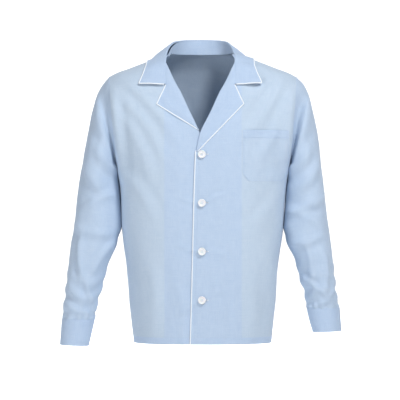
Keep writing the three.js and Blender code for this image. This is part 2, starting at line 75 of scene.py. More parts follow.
world = bpy.data.worlds.new("studio")
world.use_nodes = True
world.node_tree.nodes["Background"].inputs["Color"].default_value = (1, 1, 1, 1)
world.node_tree.nodes["Background"].inputs["Strength"].default_value = 0.26
bpy.context.scene.world = world


def area_light(name, place, aim, power, size):
    """A soft square light at a place, turned to shine on a point."""
    light = bpy.data.lights.new(name, "AREA")
    light.energy = power
    light.size = size
    lamp = bpy.data.objects.new(name, light)
    lamp.location = place
    lamp.rotation_euler = (Vector(aim) - Vector(place)).to_track_quat("-Z", "Y").to_euler()
    bpy.context.collection.objects.link(lamp)


CHEST = (0, 0, -0.3)
area_light("key", (1.2, -2.0, 2.0), CHEST, 68, 0.7)
area_light("fill", (-2.4, -2.6, 0.2), CHEST, 29, 1.4)
area_light("floor", (0, 3.2, 1.2), (0, 8, -0.3), 170, 2.5)
area_light("backdrop", (0, 6.5, 2.6), (0, 16, -0.3), 620, 2.5)
area_light("back", (-0.8, 2.6, 2.0), CHEST, 16, 1.2)


def add_object(name, mesh):
    piece = bpy.data.objects.new(name, mesh)
    bpy.context.collection.objects.link(piece)
    return piece


def studio_sweep():
    """A pale floor that curves up into a wall, lit evenly enough to read as white."""
    mesh = bpy.data.meshes.new("studio_sweep")
    half, back, radius = 20.0, 14.0, 3.0
    bend = [(back + radius * math.sin(a), FLOOR_HEIGHT + radius * (1 - math.cos(a)))
            for a in np.linspace(0, math.pi / 2, 16)]
    outline = [(-half, FLOOR_HEIGHT)] + bend + [(back + radius, 20.0)]
    points = [(x, y, z) for x in (-half, half) for y, z in outline]
    count = len(outline)
    mesh.from_pydata(points, [], [(i, i + count, i + count + 1, i + 1) for i in range(count - 1)])
    mesh.shade_smooth()
    paint = bpy.data.materials.new("studio_sweep")
    paint.use_nodes = True
    shader = paint.node_tree.nodes["Principled BSDF"]
    shader.inputs["Base Color"].default_value = (0.95, 0.95, 0.95, 1)
    shader.inputs["Roughness"].default_value = 0.9
    shader.inputs["Emission Color"].default_value = (1, 1, 1, 1)
    shader.inputs["Emission Strength"].default_value = 0.18
    mesh.materials.append(paint)
    add_object("studio_sweep", mesh)


studio_sweep()

# %% [markdown]
# ## The body's shape
# The jacket hangs on a body, so every panel follows one surface: horizontal sections that are boxy
# ovals, wide and flat across the chest, whose width and depth change smoothly with height. The
# shoulders are the same sections growing quickly below the neck. The sizes repeat the frame's.

# %% Curves through tables
def curve_through(pairs):
    """A smooth curve through (place, value) pairs that never overshoots them."""
    places, values = np.array(sorted(pairs), float).T
    chords = np.diff(values) / np.diff(places)
    slopes = np.concatenate([chords[:1], chords[1:], chords[-1:]])
    same_way = chords[:-1] * chords[1:] > 0
    total = np.where(same_way, chords[:-1] + chords[1:], 1)
    slopes[1:-1] = np.where(same_way, 2 * chords[:-1] * chords[1:] / total, 0)

    def at(place):
        place = np.clip(place, places[0], places[-1])
        i = np.clip(np.searchsorted(places, place, side="right") - 1, 0, len(chords) - 1)
        span = places[i + 1] - places[i]
        t = (place - places[i]) / span
        m0, m1, chord = slopes[i], slopes[i + 1], chords[i]
        return values[i] + span * (t * m0 + t**2 * (3 * chord - 2 * m0 - m1)
                                   + t**3 * (m0 + m1 - 2 * chord))

    return at


def smooth(t):
    t = np.clip(t, 0, 1)
    return t * t * (3 - 2 * t)


# %% Sections of the body
HEM = -726 * MM
NECK = 8 * MM
SHOULDER = -50 * MM
UNDERARM = -290 * MM
SHOULDER_X = 238 * MM
UNDERARM_X = 217 * MM
ARMHOLE_TOP = -53.5 * MM
BOXINESS = 2.6
# height, half width, depth to the front, depth to the back, in millimetres
BODY_ROWS = [
    (8, 76, 60, 62), (0, 104, 68, 72), (-5, 120, 71, 76), (-28, 180, 82, 92), (-50, 234, 92, 102),
    (-78, 260, 106, 112), (-122, 279, 119, 123), (-170, 268, 126, 127), (-237, 238, 133, 127),
    (-290, 217, 137, 124), (-445, 204.5, 141, 120), (-540, 192, 143, 125), (-726, 176, 150, 142),
]
half_width, front_depth, back_depth = (
    curve_through([(row[0] * MM, row[k] * MM) for row in BODY_ROWS]) for k in (1, 2, 3))


def depth_at(y, height):
    return np.where(y < 0, front_depth(height), back_depth(height))


def body_base(angle, height):
    """Points of the body: angle 0 is its left side, -90 degrees the front."""
    wide = half_width(height)
    power = 2 / BOXINESS
    x = wide * np.sign(np.cos(angle)) * np.abs(np.cos(angle)) ** power
    y = depth_at(np.sin(angle), height) * np.sign(np.sin(angle)) * np.abs(np.sin(angle)) ** power
    return np.stack(np.broadcast_arrays(x, y, height), -1)


def body_normal(points):
    x, y, height = np.moveaxis(points, -1, 0)
    step = 0.5 * MM
    wide, deep = half_width(height), depth_at(y, height)
    widening = (half_width(height + step) - half_width(height - step)) / (2 * step)
    deepening = (depth_at(y, height + step) - depth_at(y, height - step)) / (2 * step)
    u, v = np.abs(x) / wide, np.abs(y) / deep
    normal = np.stack([
        np.sign(x) * u ** (BOXINESS - 1) / wide,
        np.sign(y) * v ** (BOXINESS - 1) / deep,
        -(u**BOXINESS) * widening / wide - v**BOXINESS * deepening / deep], -1)
    return normal / np.linalg.norm(normal, axis=-1, keepdims=True)


def body_beside(points):
    """The body's surface in line with each point, its normal, and how far out the point is."""
    x, y, height = np.moveaxis(points, -1, 0)
    reach = ((np.abs(x) / half_width(height)) ** BOXINESS
             + (np.abs(y) / depth_at(y, height)) ** BOXINESS) ** (1 / BOXINESS)
    surface = np.stack([x / reach, y / reach, height], -1)
    normal = body_normal(surface)
    return surface, normal, np.sum((points - surface) * normal, axis=-1)


def side_angle(x, height):
    """The section's angle from the nearer side, at a distance x from the middle."""
    return np.arccos(np.minimum(1, np.abs(x) / half_width(height)) ** (BOXINESS / 2))


def front_angle(x, height):
    from_side = side_angle(x, height)
    return np.where(np.asarray(x) >= 0, -from_side, from_side - math.pi)


def armhole_x(height):
    return SHOULDER_X + (UNDERARM_X - SHOULDER_X) * (SHOULDER - height) / (SHOULDER - UNDERARM)


# %% [markdown]
# ## Folds
# Cloth that hangs from the shoulders is pulled into drag lines, and below the arms it falls in
# upright flutes that grow towards the hem. A fold here is a soft ridge along a line with a hollow
# beside it. Seeded noise on top keeps any two folds from looking alike. Every layer of the jacket
# asks the same function how far out it lies, so layers stay together. A cloth simulation could
# drape the panels, but it would put each fold where it likes.

# %% Noise and creases
def soft_noise(points, size, seed):
    """Smooth noise from -1 to 1 in space; size is one grid step, a number or one for each axis."""
    cells = 32
    lattice = np.random.default_rng(seed).uniform(-1, 1, (cells, cells, cells))
    place = np.asarray(points) / np.asarray(size) + 7.3
    low = np.floor(place).astype(int)
    part = place - low
    part = part * part * (3 - 2 * part)
    total = 0
    for corner in range(8):
        step = np.array([corner & 1, corner >> 1 & 1, corner >> 2 & 1])
        share = np.prod(np.where(step, part, 1 - part), axis=-1)
        i, j, k = np.moveaxis((low + step) % cells, -1, 0)
        total = total + share * lattice[i, j, k]
    return total


def creases_at(x, height, creases):
    """How far out the creases lift a point seen from the front or back, in metres."""
    total = np.zeros(np.broadcast(x, height).shape)
    for x0, z0, x1, z1, lift, width in creases:
        start = np.array([x0, z0]) * MM
        along = np.array([x1, z1]) * MM - start
        length = np.hypot(*along)
        along = along / length
        dx, dz = x - start[0], height - start[1]
        t = (dx * along[0] + dz * along[1]) / length
        bow = 0.06 * length * np.sin(np.pi * np.clip(t, 0, 1))
        off = (dx * -along[1] + dz * along[0] - bow) / (width * MM)
        ends = smooth(t / 0.3 + 0.35) * smooth((1 - t) / 0.45 + 0.25)
        total += lift * MM * ends * (np.exp(-(off**2)) - 0.7 * np.exp(-((off - 1.7) ** 2)))
    return total


# x and height of both ends of each crease, its lift and its width, in millimetres
FRONT_CREASES = [
    (-212, -55, -62, -222, 4.2, 15), (-222, -95, -100, -262, 3.4, 14), (-185, -48, -70, -150, 2.6, 11),
    (-206, -150, -128, -330, 3.2, 15), (-196, -300, -120, -420, 2.4, 14),
    (205, -52, 96, -212, 4.2, -14), (218, -100, 140, -262, 3.2, -14), (206, -170, 170, -340, 3.0, -15),
    (176, -46, 92, -130, 2.4, -10), (196, -330, 128, -430, 2.4, -14),
    (8, -372, 62, -348, 1.6, 6), (-6, -374, -70, -352, 1.4, 7), (6, -492, 70, -512, 1.4, 8),
    (-6, -494, -74, -470, 1.4, 8), (8, -250, 66, -222, 1.2, 7), (6, -614, 60, -590, 1.5, 8),
    (-8, -616, -80, -650, 1.8, 10), (30, -560, 44, -722, 2.2, 13), (-64, -570, -52, -722, 2.6, 13),
    (112, -540, 120, -722, 3.6, 17), (-128, -520, -136, -722, 3.4, 16), (160, -470, 166, -722, 3.4, 14),
]
BACK_CREASES = [
    (-214, -60, -90, -210, 3.6, 15), (214, -60, 90, -210, 3.6, -15), (-206, -190, -130, -380, 3.4, 16),
    (206, -190, 130, -380, 3.4, -16), (-40, -90, -48, -300, 2.0, 16), (52, -100, 46, -320, 2.0, 16),
    (-96, -470, -110, -722, 4.4, 18), (10, -450, 4, -722, 4.2, 20), (104, -460, 118, -722, 4.4, 18),
]


def fold_at(points):
    """How far the cloth stands off its body at these points of the body."""
    x, y, height = np.moveaxis(points, -1, 0)
    facing = smooth(-y / (30 * MM) + 0.5)
    total = creases_at(x, height, FRONT_CREASES) * facing
    total += creases_at(x, height, BACK_CREASES) * (1 - facing)
    from_seam = (armhole_x(height) - np.abs(x)) / MM
    ridge = np.exp(-(((from_seam - 9) / 10) ** 2)) - 0.6 * np.exp(-(((from_seam - 30) / 12) ** 2))
    total += 5.5 * MM * ridge * smooth((-height - 0.075) / 0.06) * smooth((height + 0.34) / 0.06)
    fall = smooth((-height - 0.30) / 0.42)
    total += 4.4 * MM * fall * soft_noise(points, (0.058, 0.058, 0.40), 11)
    total += 1.7 * MM * soft_noise(points, (0.075, 0.075, 0.10), 12)
    total += 0.55 * MM * soft_noise(points, (0.024, 0.024, 0.034), 13)
    total += 0.16 * MM * soft_noise(points, 0.009, 14)
    return total * smooth((NECK - height) / 0.05)


def cloth_at(angle, height, offset=0.0):
    """Points of a layer of the jacket, offset outwards from its outermost face."""
    base = body_base(angle, height)
    lift = fold_at(base) + offset
    return base + body_normal(base) * lift[..., None]


print("front at the hem:", cloth_at(np.array(-math.pi / 2), np.array(HEM)).round(3))

# %% [markdown]
# ## From grids to meshes
# A panel is cut along its threads, so each panel here is a grid whose rows run across and whose
# columns run down. The length along the rows and columns is kept as a UV map in metres, which the
# weave reads later. Solidify then gives the cloth its thickness.

# %% Grid meshes
CLOTH = 0.7 * MM
TURNED_CLOTH = 1.0 * MM


def grid_mesh(name, points, closed_round=False, flip=False):
    """A mesh through a grid of points (rows, columns, 3), with its threads as a UV map."""
    rows, columns = points.shape[:2]
    mesh = bpy.data.meshes.new(name)
    index = np.arange(rows * columns).reshape(rows, columns)
    right = np.roll(index, -1, axis=1) if closed_round else index[:, 1:]
    left = index if closed_round else index[:, :-1]
    faces = np.stack([left[:-1], left[1:], right[1:], right[:-1]], -1).reshape(-1, 4)
    if flip:
        faces = faces[:, ::-1]
    mesh.from_pydata(points.reshape(-1, 3).tolist(), [], faces.tolist())
    wrapped = np.concatenate([points, points[:, :1]], 1) if closed_round else points
    across = np.zeros(wrapped.shape[:2])
    across[:, 1:] = np.cumsum(np.linalg.norm(np.diff(wrapped, axis=1), axis=-1), axis=1)
    down = np.zeros(wrapped.shape[:2])
    down[1:] = np.cumsum(np.linalg.norm(np.diff(wrapped, axis=0), axis=-1), axis=0)
    across -= across.mean(axis=1, keepdims=True)
    uv = np.stack([across, down.mean(axis=1, keepdims=True) + 0 * across], -1)
    columns_uv = wrapped.shape[1]
    r, c = np.meshgrid(np.arange(rows - 1), np.arange(columns_uv - 1), indexing="ij")
    corners = [(r, c), (r + 1, c), (r + 1, c + 1), (r, c + 1)]
    if flip:
        corners = corners[::-1]
    loops = np.stack([uv[i, j] for i, j in corners], 2).reshape(-1, 2)
    layer = mesh.uv_layers.new(name="threads")
    layer.data.foreach_set("uv", loops.astype(np.float32).ravel())
    mesh.shade_smooth()
    return mesh


def bake_modifiers(piece):
    """Turns a piece and its modifiers into one plain mesh."""
    graph = bpy.context.evaluated_depsgraph_get()
    mesh = bpy.data.meshes.new_from_object(piece.evaluated_get(graph))
    piece.modifiers.clear()
    piece.data = mesh
    return piece


# %% [markdown]
# ## Shader maths
# A woven look takes a lot of small sums. This class wraps a socket so that a sum can be written as
# a sum, and each operation adds its own Math node.

# %% Shader maths
class Wire:
    """One output socket of a node tree, which can be used in sums."""

    def __init__(self, tree, socket):
        self.tree, self.socket = tree, socket

    def node(self, kind, settings=None, output=0, **inputs):
        """Adds any other node; inputs are by socket name, with _ for a space."""
        made = self.tree.nodes.new(kind)
        for key, value in (settings or {}).items():
            setattr(made, key, value)
        for key, value in inputs.items():
            wanted = key.replace("_", " ")
            socket = next(s for s in made.inputs if s.name == wanted and s.enabled)
            if isinstance(value, Wire):
                self.tree.links.new(value.socket, socket)
            else:
                socket.default_value = value
        outputs = [s for s in made.outputs if s.enabled]
        return Wire(self.tree, made.outputs[output] if isinstance(output, str) else outputs[output])

    def sum(self, operation, *values):
        made = self.tree.nodes.new("ShaderNodeMath")
        made.operation = operation
        for socket, value in zip(made.inputs, values):
            if isinstance(value, Wire):
                self.tree.links.new(value.socket, socket)
            else:
                socket.default_value = value
        return Wire(self.tree, made.outputs[0])

    def __add__(self, other):
        return self.sum("ADD", self, other)

    def __sub__(self, other):
        return self.sum("SUBTRACT", self, other)

    def __rsub__(self, other):
        return self.sum("SUBTRACT", other, self)

    def __mul__(self, other):
        return self.sum("MULTIPLY", self, other)

    __radd__, __rmul__ = __add__, __mul__

    def sine(self):
        return self.sum("SINE", self)

    def mix(self, low, high):
        """Mixes two colours by this value."""
        made = self.tree.nodes.new("ShaderNodeMix")
        made.data_type = "RGBA"
        self.tree.links.new(self.socket, made.inputs["Factor"])
        colours = [s for s in made.inputs if s.type == "RGBA"]
        for socket, value in zip(colours, (low, high)):
            if isinstance(value, Wire):
                self.tree.links.new(value.socket, socket)
            else:
                socket.default_value = (*value, 1)
        return Wire(self.tree, next(s for s in made.outputs if s.type == "RGBA"))


def new_material(name, **constants):
    """A material with its Principled shader; constants are the shader's own socket values."""
    material = bpy.data.materials.new(name)
    material.use_nodes = True
    shader = material.node_tree.nodes["Principled BSDF"]
    for key, value in constants.items():
        shader.inputs[key.replace("_", " ")].default_value = value
    return material, shader, Wire(material.node_tree, None)


# %% [markdown]
# ## Cotton
# The cloth is a fine plain weave: every thread passes over one and under the next. Two sine waves
# along the UV map make that checker of crowns, which drives bump and a little colour. Uneven yarn
# shows as faint streaks along both directions, and washing leaves a soft mottle. Where two layers
# lie together less light gets through, so the blue is deeper: a painted attribute says where.

# %% Cotton
THREAD = 0.42 * MM


def cotton(name, thin, doubled, streak=0.05):
    material, shader, start = new_material(
        name, Sheen_Weight=0.09, Sheen_Roughness=0.45, Specular_IOR_Level=0.22)
    tree = material.node_tree
    threads = start.node("ShaderNodeUVMap", {"uv_map": "threads"})
    place = start.node("ShaderNodeTexCoord", output="Object")
    parts = start.node("ShaderNodeSeparateXYZ", Vector=threads)
    u = Wire(tree, parts.socket.node.outputs[0])
    v = Wire(tree, parts.socket.node.outputs[1])
    warp = (u * (math.pi / THREAD)).sine()
    weft = (v * (math.pi / THREAD)).sine()
    crown = warp * weft * 0.5 + 0.5

    def streaks(along_u, along_v, seed):
        spread = start.node("ShaderNodeCombineXYZ", X=u * along_u, Y=v * along_v, Z=seed)
        return start.node("ShaderNodeTexNoise", {"noise_dimensions": "3D"}, Vector=spread,
                          Scale=1.0, Detail=2.0, Roughness=0.6)

    yarn = streaks(900, 26, 3.0) + streaks(26, 900, 9.0) - 1.0
    mottle = start.node("ShaderNodeTexNoise", Vector=place, Scale=9.0, Detail=4.0, Roughness=0.6)
    wash = start.node("ShaderNodeTexNoise", Vector=place, Scale=70.0, Detail=3.0, Roughness=0.55)
    layers = start.node("ShaderNodeAttribute", {"attribute_name": "layers"}, output="Fac")
    single = (mottle * 1.4 - 0.2).mix([c * 0.965 for c in thin], [min(1, c * 1.03) for c in thin])
    both = (mottle * 1.4 - 0.2).mix([c * 0.97 for c in doubled], [min(1, c * 1.03) for c in doubled])
    base = layers.mix(single, both)
    pale = (yarn * streak * 5 + crown * 0.16 + (wash - 0.5) * 0.12 + 0.12)
    base = pale.mix(base, (0.86, 0.91, 0.97))
    tree.links.new(base.socket, shader.inputs["Base Color"])
    rough = 0.84 + (wash - 0.5) * 0.12 + crown * 0.05
    tree.links.new(rough.socket, shader.inputs["Roughness"])
    crumple = start.node("ShaderNodeTexNoise", Vector=place, Scale=150.0, Detail=3.0, Roughness=0.5)
    relief = crown * 0.05 + yarn * 0.08 + wash * 0.5 + crumple * 0.35
    bump = start.node("ShaderNodeBump", Height=relief, Strength=0.35, Distance=0.0011)
    tree.links.new(bump.socket, shader.inputs["Normal"])
    return material


jacket_cotton = cotton("jacket_cotton", (0.42, 0.545, 0.70), (0.37, 0.51, 0.725))
print("made", jacket_cotton.name)

# %% [markdown]
# ## Where each panel ends
# The fronts part at the neck along the roll lines of the lapels and overlap below them. A straight
# armhole seam, a side seam under it and a shoulder seam a little in front of the ridge bound the
# panels on the outside.

# %% Edges of the panels
COLLAR_X = -7 * MM
BREAK = -247 * MM
CROSS = -196 * MM
ROLL_LINE = [(4, 80), (-6, 86), (-13, 87.5), (-40, 78), (-68, 65), (-95, 50), (-145, 27),
             (-168, 15), (-196, 2), (-247, -11)]
LEFT_EDGE = [(-247, -18), (-370, -22), (-500, -25), (-726, -31)]
RIGHT_EDGE = [(-196, -9), (-247, 6), (-290, 14), (-726, 10)]
roll_at, left_edge_at, right_edge_at = (
    curve_through([(h * MM, x * MM) for h, x in pairs])
    for pairs in (ROLL_LINE, LEFT_EDGE, RIGHT_EDGE))
SHOULDER_SEAM_Y = 22 * MM
FACING_REACH = 97 * MM


def front_edge_x(side, height):
    rolled = COLLAR_X + side * roll_at(height)
    if side > 0:
        return np.where(height > BREAK, rolled, left_edge_at(height))
    return np.where(height > CROSS, rolled, right_edge_at(height))


def angle_at_depth(y, deep):
    return np.arcsin(np.minimum(1, y / deep) ** (BOXINESS / 2))


def armhole_angle(height):
    """How far round from the side the armhole seam is; nought below the underarm."""
    return np.where(height < UNDERARM, 0.0, side_angle(armhole_x(height), height))


def under_lap(x):
    return -3.0 * MM * smooth((x / MM + 62) / 34)


def panel_rows(top, fine_until=-60 * MM):
    """Heights of a panel's rows, closer together over the curve of the shoulder."""
    over_shoulder = np.linspace(top, fine_until, 26)
    below = np.linspace(fine_until, HEM + 18 * MM, 168)[1:]
    hem = HEM + np.array([15, 13, 11, 7, 3, 0.5]) * MM
    return np.concatenate([over_shoulder, below, hem])


HEM_STITCH = HEM + 15 * MM


def stitch_groove(distance):
    """A sewn line pulls the cloth in a little."""
    return -0.35 * MM * np.exp(-((distance / (1.6 * MM)) ** 2))


def add_point_values(piece_mesh, name, values):
    layer = piece_mesh.attributes.new(name, "FLOAT", "POINT")
    layer.data.foreach_set("value", np.asarray(values, np.float32).ravel())


# %% Layers of the fronts
def spread_evenly(angles, points, count):
    """Picks angles so that their points on the body lie at equal steps along the cloth."""
    steps = np.concatenate([[0], np.cumsum(np.linalg.norm(np.diff(points, axis=0), axis=-1))])
    return np.interp(np.linspace(0, steps[-1], count), steps, angles)


def front_angles(side, height, columns):
    edge = front_edge_x(side, height)
    deep = front_depth(height)
    seam = angle_at_depth(SHOULDER_SEAM_Y, deep) * smooth((height / MM + 60) / 5)
    outer = np.maximum(armhole_angle(height), seam)
    inner = front_angle(edge, height)
    outer = -outer if side > 0 else outer - math.pi
    dense = np.linspace(inner, outer, 600)
    base = body_base(dense, height)
    return spread_evenly(dense, base, columns)


def front_layer(side, height, columns, offset):
    """One row of a front, as points and how doubled the cloth is there."""
    angle = front_angles(side, height, columns)
    x = body_base(angle, height)[:, 0]
    lap = under_lap(x) if side < 0 else 0 * x
    edge = front_edge_x(side, height)
    tack = stitch_groove(np.abs(x - edge) - 6 * MM) * (height < BREAK)
    points = cloth_at(angle, height, offset + lap + tack)
    return points, 0.75 * smooth((FACING_REACH - np.abs(x)) / (5 * MM) + 0.5)


def hem_rows():
    """The hem turns in under the panel: heights and offsets of its rows."""
    return [(HEM - 0.5 * MM, -0.4 * MM), (HEM - 0.2 * MM, -1.2 * MM), (HEM + 1.5 * MM, -1.6 * MM),
            (HEM + 8 * MM, -1.6 * MM), (HEM + 15 * MM, -1.5 * MM), (HEM + 18 * MM, -1.6 * MM)]


def make_front(side, columns=150):
    rows = [(height, 0.0) for height in panel_rows(4 * MM)] + hem_rows()
    points, doubled = [], []
    for height, offset in rows:
        sewn = stitch_groove(height - HEM_STITCH)
        row, double = front_layer(side, height, columns, offset + sewn)
        points.append(row)
        doubled.append(np.maximum(double, height < HEM_STITCH + 1 * MM))
    return np.array(points), np.array(doubled)


def cloth_from(name, points, material, doubled, thickness=CLOTH, closed_round=False, flip=False):
    """A sheet of cloth with its outer face on the points, double where doubled is 1."""
    mesh = grid_mesh(name, points, closed_round, flip)
    add_point_values(mesh, "layers", np.broadcast_to(doubled, points.shape[:2]))
    piece = add_object(name, mesh)
    mesh.materials.append(material)
    wall = piece.modifiers.new("wall", "SOLIDIFY")
    wall.thickness = thickness
    wall.offset = -1
    wall.use_quality_normals = True
    bake_modifiers(piece).data.set_sharp_from_angle(angle=math.radians(55))
    return piece


left_points, left_doubled = make_front(1)
right_points, right_doubled = make_front(-1)
left_front = cloth_from("left_front_cloth", left_points, jacket_cotton, left_doubled)
right_front = cloth_from("right_front_cloth", right_points, jacket_cotton, right_doubled, flip=True)
print("left front:", len(left_front.data.polygons), "faces")

# %% [markdown]
# ## The back
# One wide panel. At the top its rows pass over the ridge of the shoulders to the shoulder seam in
# front; lower down they stop at the armholes and then at the side seams.

# %% The back
def make_back(columns=220):
    rows = [(height, 0.0) for height in panel_rows(8 * MM)] + hem_rows()
    points, doubled = [], []
    for height, offset in rows:
        deep = front_depth(height)
        over = -angle_at_depth(np.minimum(SHOULDER_SEAM_Y, 0.5 * deep), deep)
        start = armhole_angle(height) if height < ARMHOLE_TOP else over
        dense = np.linspace(start, math.pi - start, 900)
        base = body_base(dense, height)
        angle = spread_evenly(dense, base, columns)
        points.append(cloth_at(angle, height, offset + stitch_groove(height - HEM_STITCH)))
        doubled.append(np.full(columns, float(height < HEM_STITCH + 1 * MM)))
    return np.array(points), np.array(doubled)


back_points, back_doubled = make_back()
back_panel = cloth_from("back_cloth", back_points, jacket_cotton, back_doubled)
print("back:", len(back_panel.data.polygons), "faces")

# %% [markdown]
# ## Facings
# A second layer inside each front, from the opening to a hand's width from the middle. It stiffens
# the edge that carries the buttons, and turns out at the top as the lapel.

# %% Facings
def make_facing(side, columns=40):
    heights = np.concatenate([np.linspace(-13, -60, 14), np.linspace(-60, -707, 150)[1:]]) * MM
    points = []
    for height in heights:
        edge = front_edge_x(side, height) + side * 0.4 * MM
        outer_x = body_base(-armhole_angle(height), height)[0]
        reach = min(max(FACING_REACH, abs(edge) + 12 * MM), (abs(edge) + outer_x) / 2)
        x = np.linspace(edge, side * reach, columns)
        lap = under_lap(x) if side < 0 else 0 * x
        points.append(cloth_at(front_angle(x, height), height, lap - 1.25 * MM))
    return np.array(points)


left_facing, right_facing = (
    cloth_from(f"{word}_facing_cloth", make_facing(side), jacket_cotton, 1.0, flip=side < 0)
    for side, word in SIDES)
print("left facing:", len(left_facing.data.polygons), "faces")

# %% [markdown]
# ## Sleeves
# A sleeve is a tube of rings. The first ring lies at the edge of the armhole, just under the body's
# cloth at the sides and just over it on top of the shoulder. Within a hand's width the rings turn
# into the ovals of an arm. Two tubes meet above the elbow.

# %% Rings of a sleeve
# outer x, outer drop, inner x (None follows the side of the body), inner drop, half depth, centre y
SLEEVE_ROWS = [
    (239, 52, None, 290, 82, 0), (262, 82, None, 292, 84, 0), (277, 122, None, 294, 84, 0),
    (290, 178, None, 296, 83, 0), (305, 262, None, 299, 80, -1), (314, 326, None, 348, 75, -3),
    (322, 396, None, 414, 69, -6), (331, 465, 212, 470, 64, -10), (337, 530, 236, 528, 61, -15),
    (342, 585, 249, 582, 57, -20), (346, 630, 262, 628, 51, -25), (350, 664, 269, 666, 43, -28)]
CUFF_ROWS = [(351, 666, 270, 668, 42, -28), (356, 732, 285, 735, 38, -33)]
ELBOW_DROP, CUFF_DROP = 396, 664
RAISED = {1: 28, -1: 0}
SPREAD = {1: -6, -1: 6}
BEND_RING, ELBOW_RING, LAST_RING = 4, 6, len(SLEEVE_ROWS) - 1
SLEEVE_JOIN = 5.3


def ring_values(row, side):
    """A ring's centre x, y, z, half span, half depth and the direction from its inner to outer end."""
    outer_x, outer_drop, inner_x, inner_drop, half_deep, centre_y = row
    raised = RAISED[side] * max(0, (outer_drop - ELBOW_DROP) / (CUFF_DROP - ELBOW_DROP))
    shifted = SPREAD[side] * min(1, max(0, outer_drop - 50) / CUFF_DROP)
    if inner_x is None:
        height = -inner_drop * MM
        inner_x = max(half_width(height), armhole_x(height)) / MM + 3 - shifted
    outer = np.array([outer_x + 0.8 + shifted, raised - outer_drop])
    inner = np.array([inner_x + shifted, raised - inner_drop])
    middle, across = (outer + inner) / 2, outer - inner
    span = np.hypot(*across)
    return [middle[0] * MM, centre_y * MM, middle[1] * MM, span / 2 * MM, half_deep * MM,
            across[0] / span, across[1] / span]


def ring_curves(rows, side):
    table = np.array([ring_values(row, side) for row in rows])
    return [curve_through(list(enumerate(column))) for column in table.T]


def tube_point(curves, side, s, angle, lift):
    """A point of a sleeve, s rings down; angle 0 is the outer side and -90 degrees the front."""
    x, y, z, span, deep, across_x, across_z = [curve(s) for curve in curves]
    cos, sin = np.cos(angle), np.sin(angle)
    normal = np.stack([across_x * cos / span, sin / deep, across_z * cos / span], -1)
    normal = normal / np.linalg.norm(normal, axis=-1, keepdims=True)
    base = np.stack(np.broadcast_arrays(
        x + across_x * span * cos, y + deep * sin, z + across_z * span * cos), -1)
    return (base + normal * np.asarray(lift)[..., None]) * np.array([side, 1, 1])


# around the arm from the outer side (front is -102, inner side -204) and height of both ends of
# each crease, its lift and its width, in millimetres
SLEEVE_CREASES = {
    1: [
        (-20, -95, -120, -215, 4.0, 15), (-45, -70, -150, -150, 3.0, 12),
        (-70, -230, -190, -300, 4.6, 15), (-30, -255, -150, -345, 3.6, 14),
        (-20, -345, -165, -390, 3.6, 12), (-170, -392, -40, -440, 4.2, 13),
        (-60, -455, -185, -478, 3.0, 10), (-118, -450, -135, -600, 4.2, 14),
        (-60, -500, -90, -610, 3.0, 11), (-175, -560, -70, -622, 3.0, 9),
        (-30, -575, -110, -632, 2.6, 9), (60, -300, 150, -420, 4, 16)],
    -1: [
        (-20, -95, -120, -215, 4.0, 15), (-40, -72, -150, -160, 3.0, 12),
        (-80, -230, -195, -300, 4.6, 15), (-30, -262, -140, -352, 3.4, 14),
        (-165, -350, -30, -402, 3.8, 12), (-20, -425, -160, -452, 3.8, 12),
        (-57, -446, -100, -576, 4.6, 12), (-100, -560, -196, -655, 4.2, 11),
        (-170, -470, -120, -560, 3.4, 12), (-25, -560, -120, -618, 3.0, 10),
        (-40, -622, -150, -650, 2.4, 8), (60, -300, 150, -420, 4, 16)],
}
ARM_RADIUS = 65 * MM
TOP_LAP = 2.2 * MM
ARMPIT_PULL, ARMPIT_REACH = 7 * MM, 45 * MM


def sleeve_fold(side, s, angle, place):
    around = angle * ARM_RADIUS
    height = place[..., 2]
    total = 1.1 * creases_at(around, height, SLEEVE_CREASES[side])
    total += 4.0 * MM * soft_noise(place, (0.055, 0.055, 0.17), 21)
    total += 1.3 * MM * soft_noise(place, (0.034, 0.034, 0.06), 22)
    total += 0.45 * MM * soft_noise(place, (0.019, 0.019, 0.022), 23)
    total += 0.16 * MM * soft_noise(place, 0.009, 24)
    stacked = smooth((s - 7.5) / 2) * smooth((11.4 - s) / 0.8)
    total += 2.0 * MM * stacked * np.sin(height / (6.5 * MM) + 2.2 * np.sin(angle * 2 + side))
    pleats = 1.5 * MM * smooth((s - 9.9) / 1.1) * np.sin(11 * angle + 1.3 * np.sin(3 * angle))
    held = smooth((11.0 - s) / 0.5) * smooth(s / 0.7)
    depth = 10.5 + 2 * side - (5.5 + 2 * side) * np.sin(angle)
    valley = -depth * MM * np.exp(-(((s - 0.6) / 0.7) ** 2)) * smooth((-height - 0.065) / 0.06)
    return (total - 1.5 * MM) * held + pleats + valley


def over_shoulder(angle):
    """One on top of the shoulder and nought round the rest of the armhole."""
    return smooth((np.cos(angle) - 0.72) / 0.2)


def armhole_ring(side, curves, angle, offset):
    """The body's armhole edge at a sleeve's angles, a little higher on top of the shoulder."""
    start = tube_point(curves, 1, 0.0, angle, 0 * angle)
    height = np.minimum(start[..., 2], ARMHOLE_TOP + TOP_LAP * over_shoulder(angle))
    round_side = armhole_angle(height) * np.where(np.sin(angle) < 0, -1, 1)
    on_side = round_side if side > 0 else math.pi - round_side
    return cloth_at(on_side, height, offset)


def hug_body(ring, s):
    """Brings the inner side of a sleeve against the side of the body, never into it."""
    pull = ARMPIT_PULL * smooth((s - 0.5) / 1.0) * smooth((6.9 - s) / 0.6)
    if pull == 0:
        return ring
    surface, normal, gap = body_beside(ring)
    gap = gap - fold_at(surface)
    below_armpit = smooth((-0.268 - ring[..., 2]) / 0.018)
    pull = pull * smooth((ARMPIT_REACH - gap) / (35 * MM)) * below_armpit
    closer = np.where(pull > 0, np.maximum(CLOTH, gap - pull), gap)
    return ring + normal * (closer - gap)[..., None]


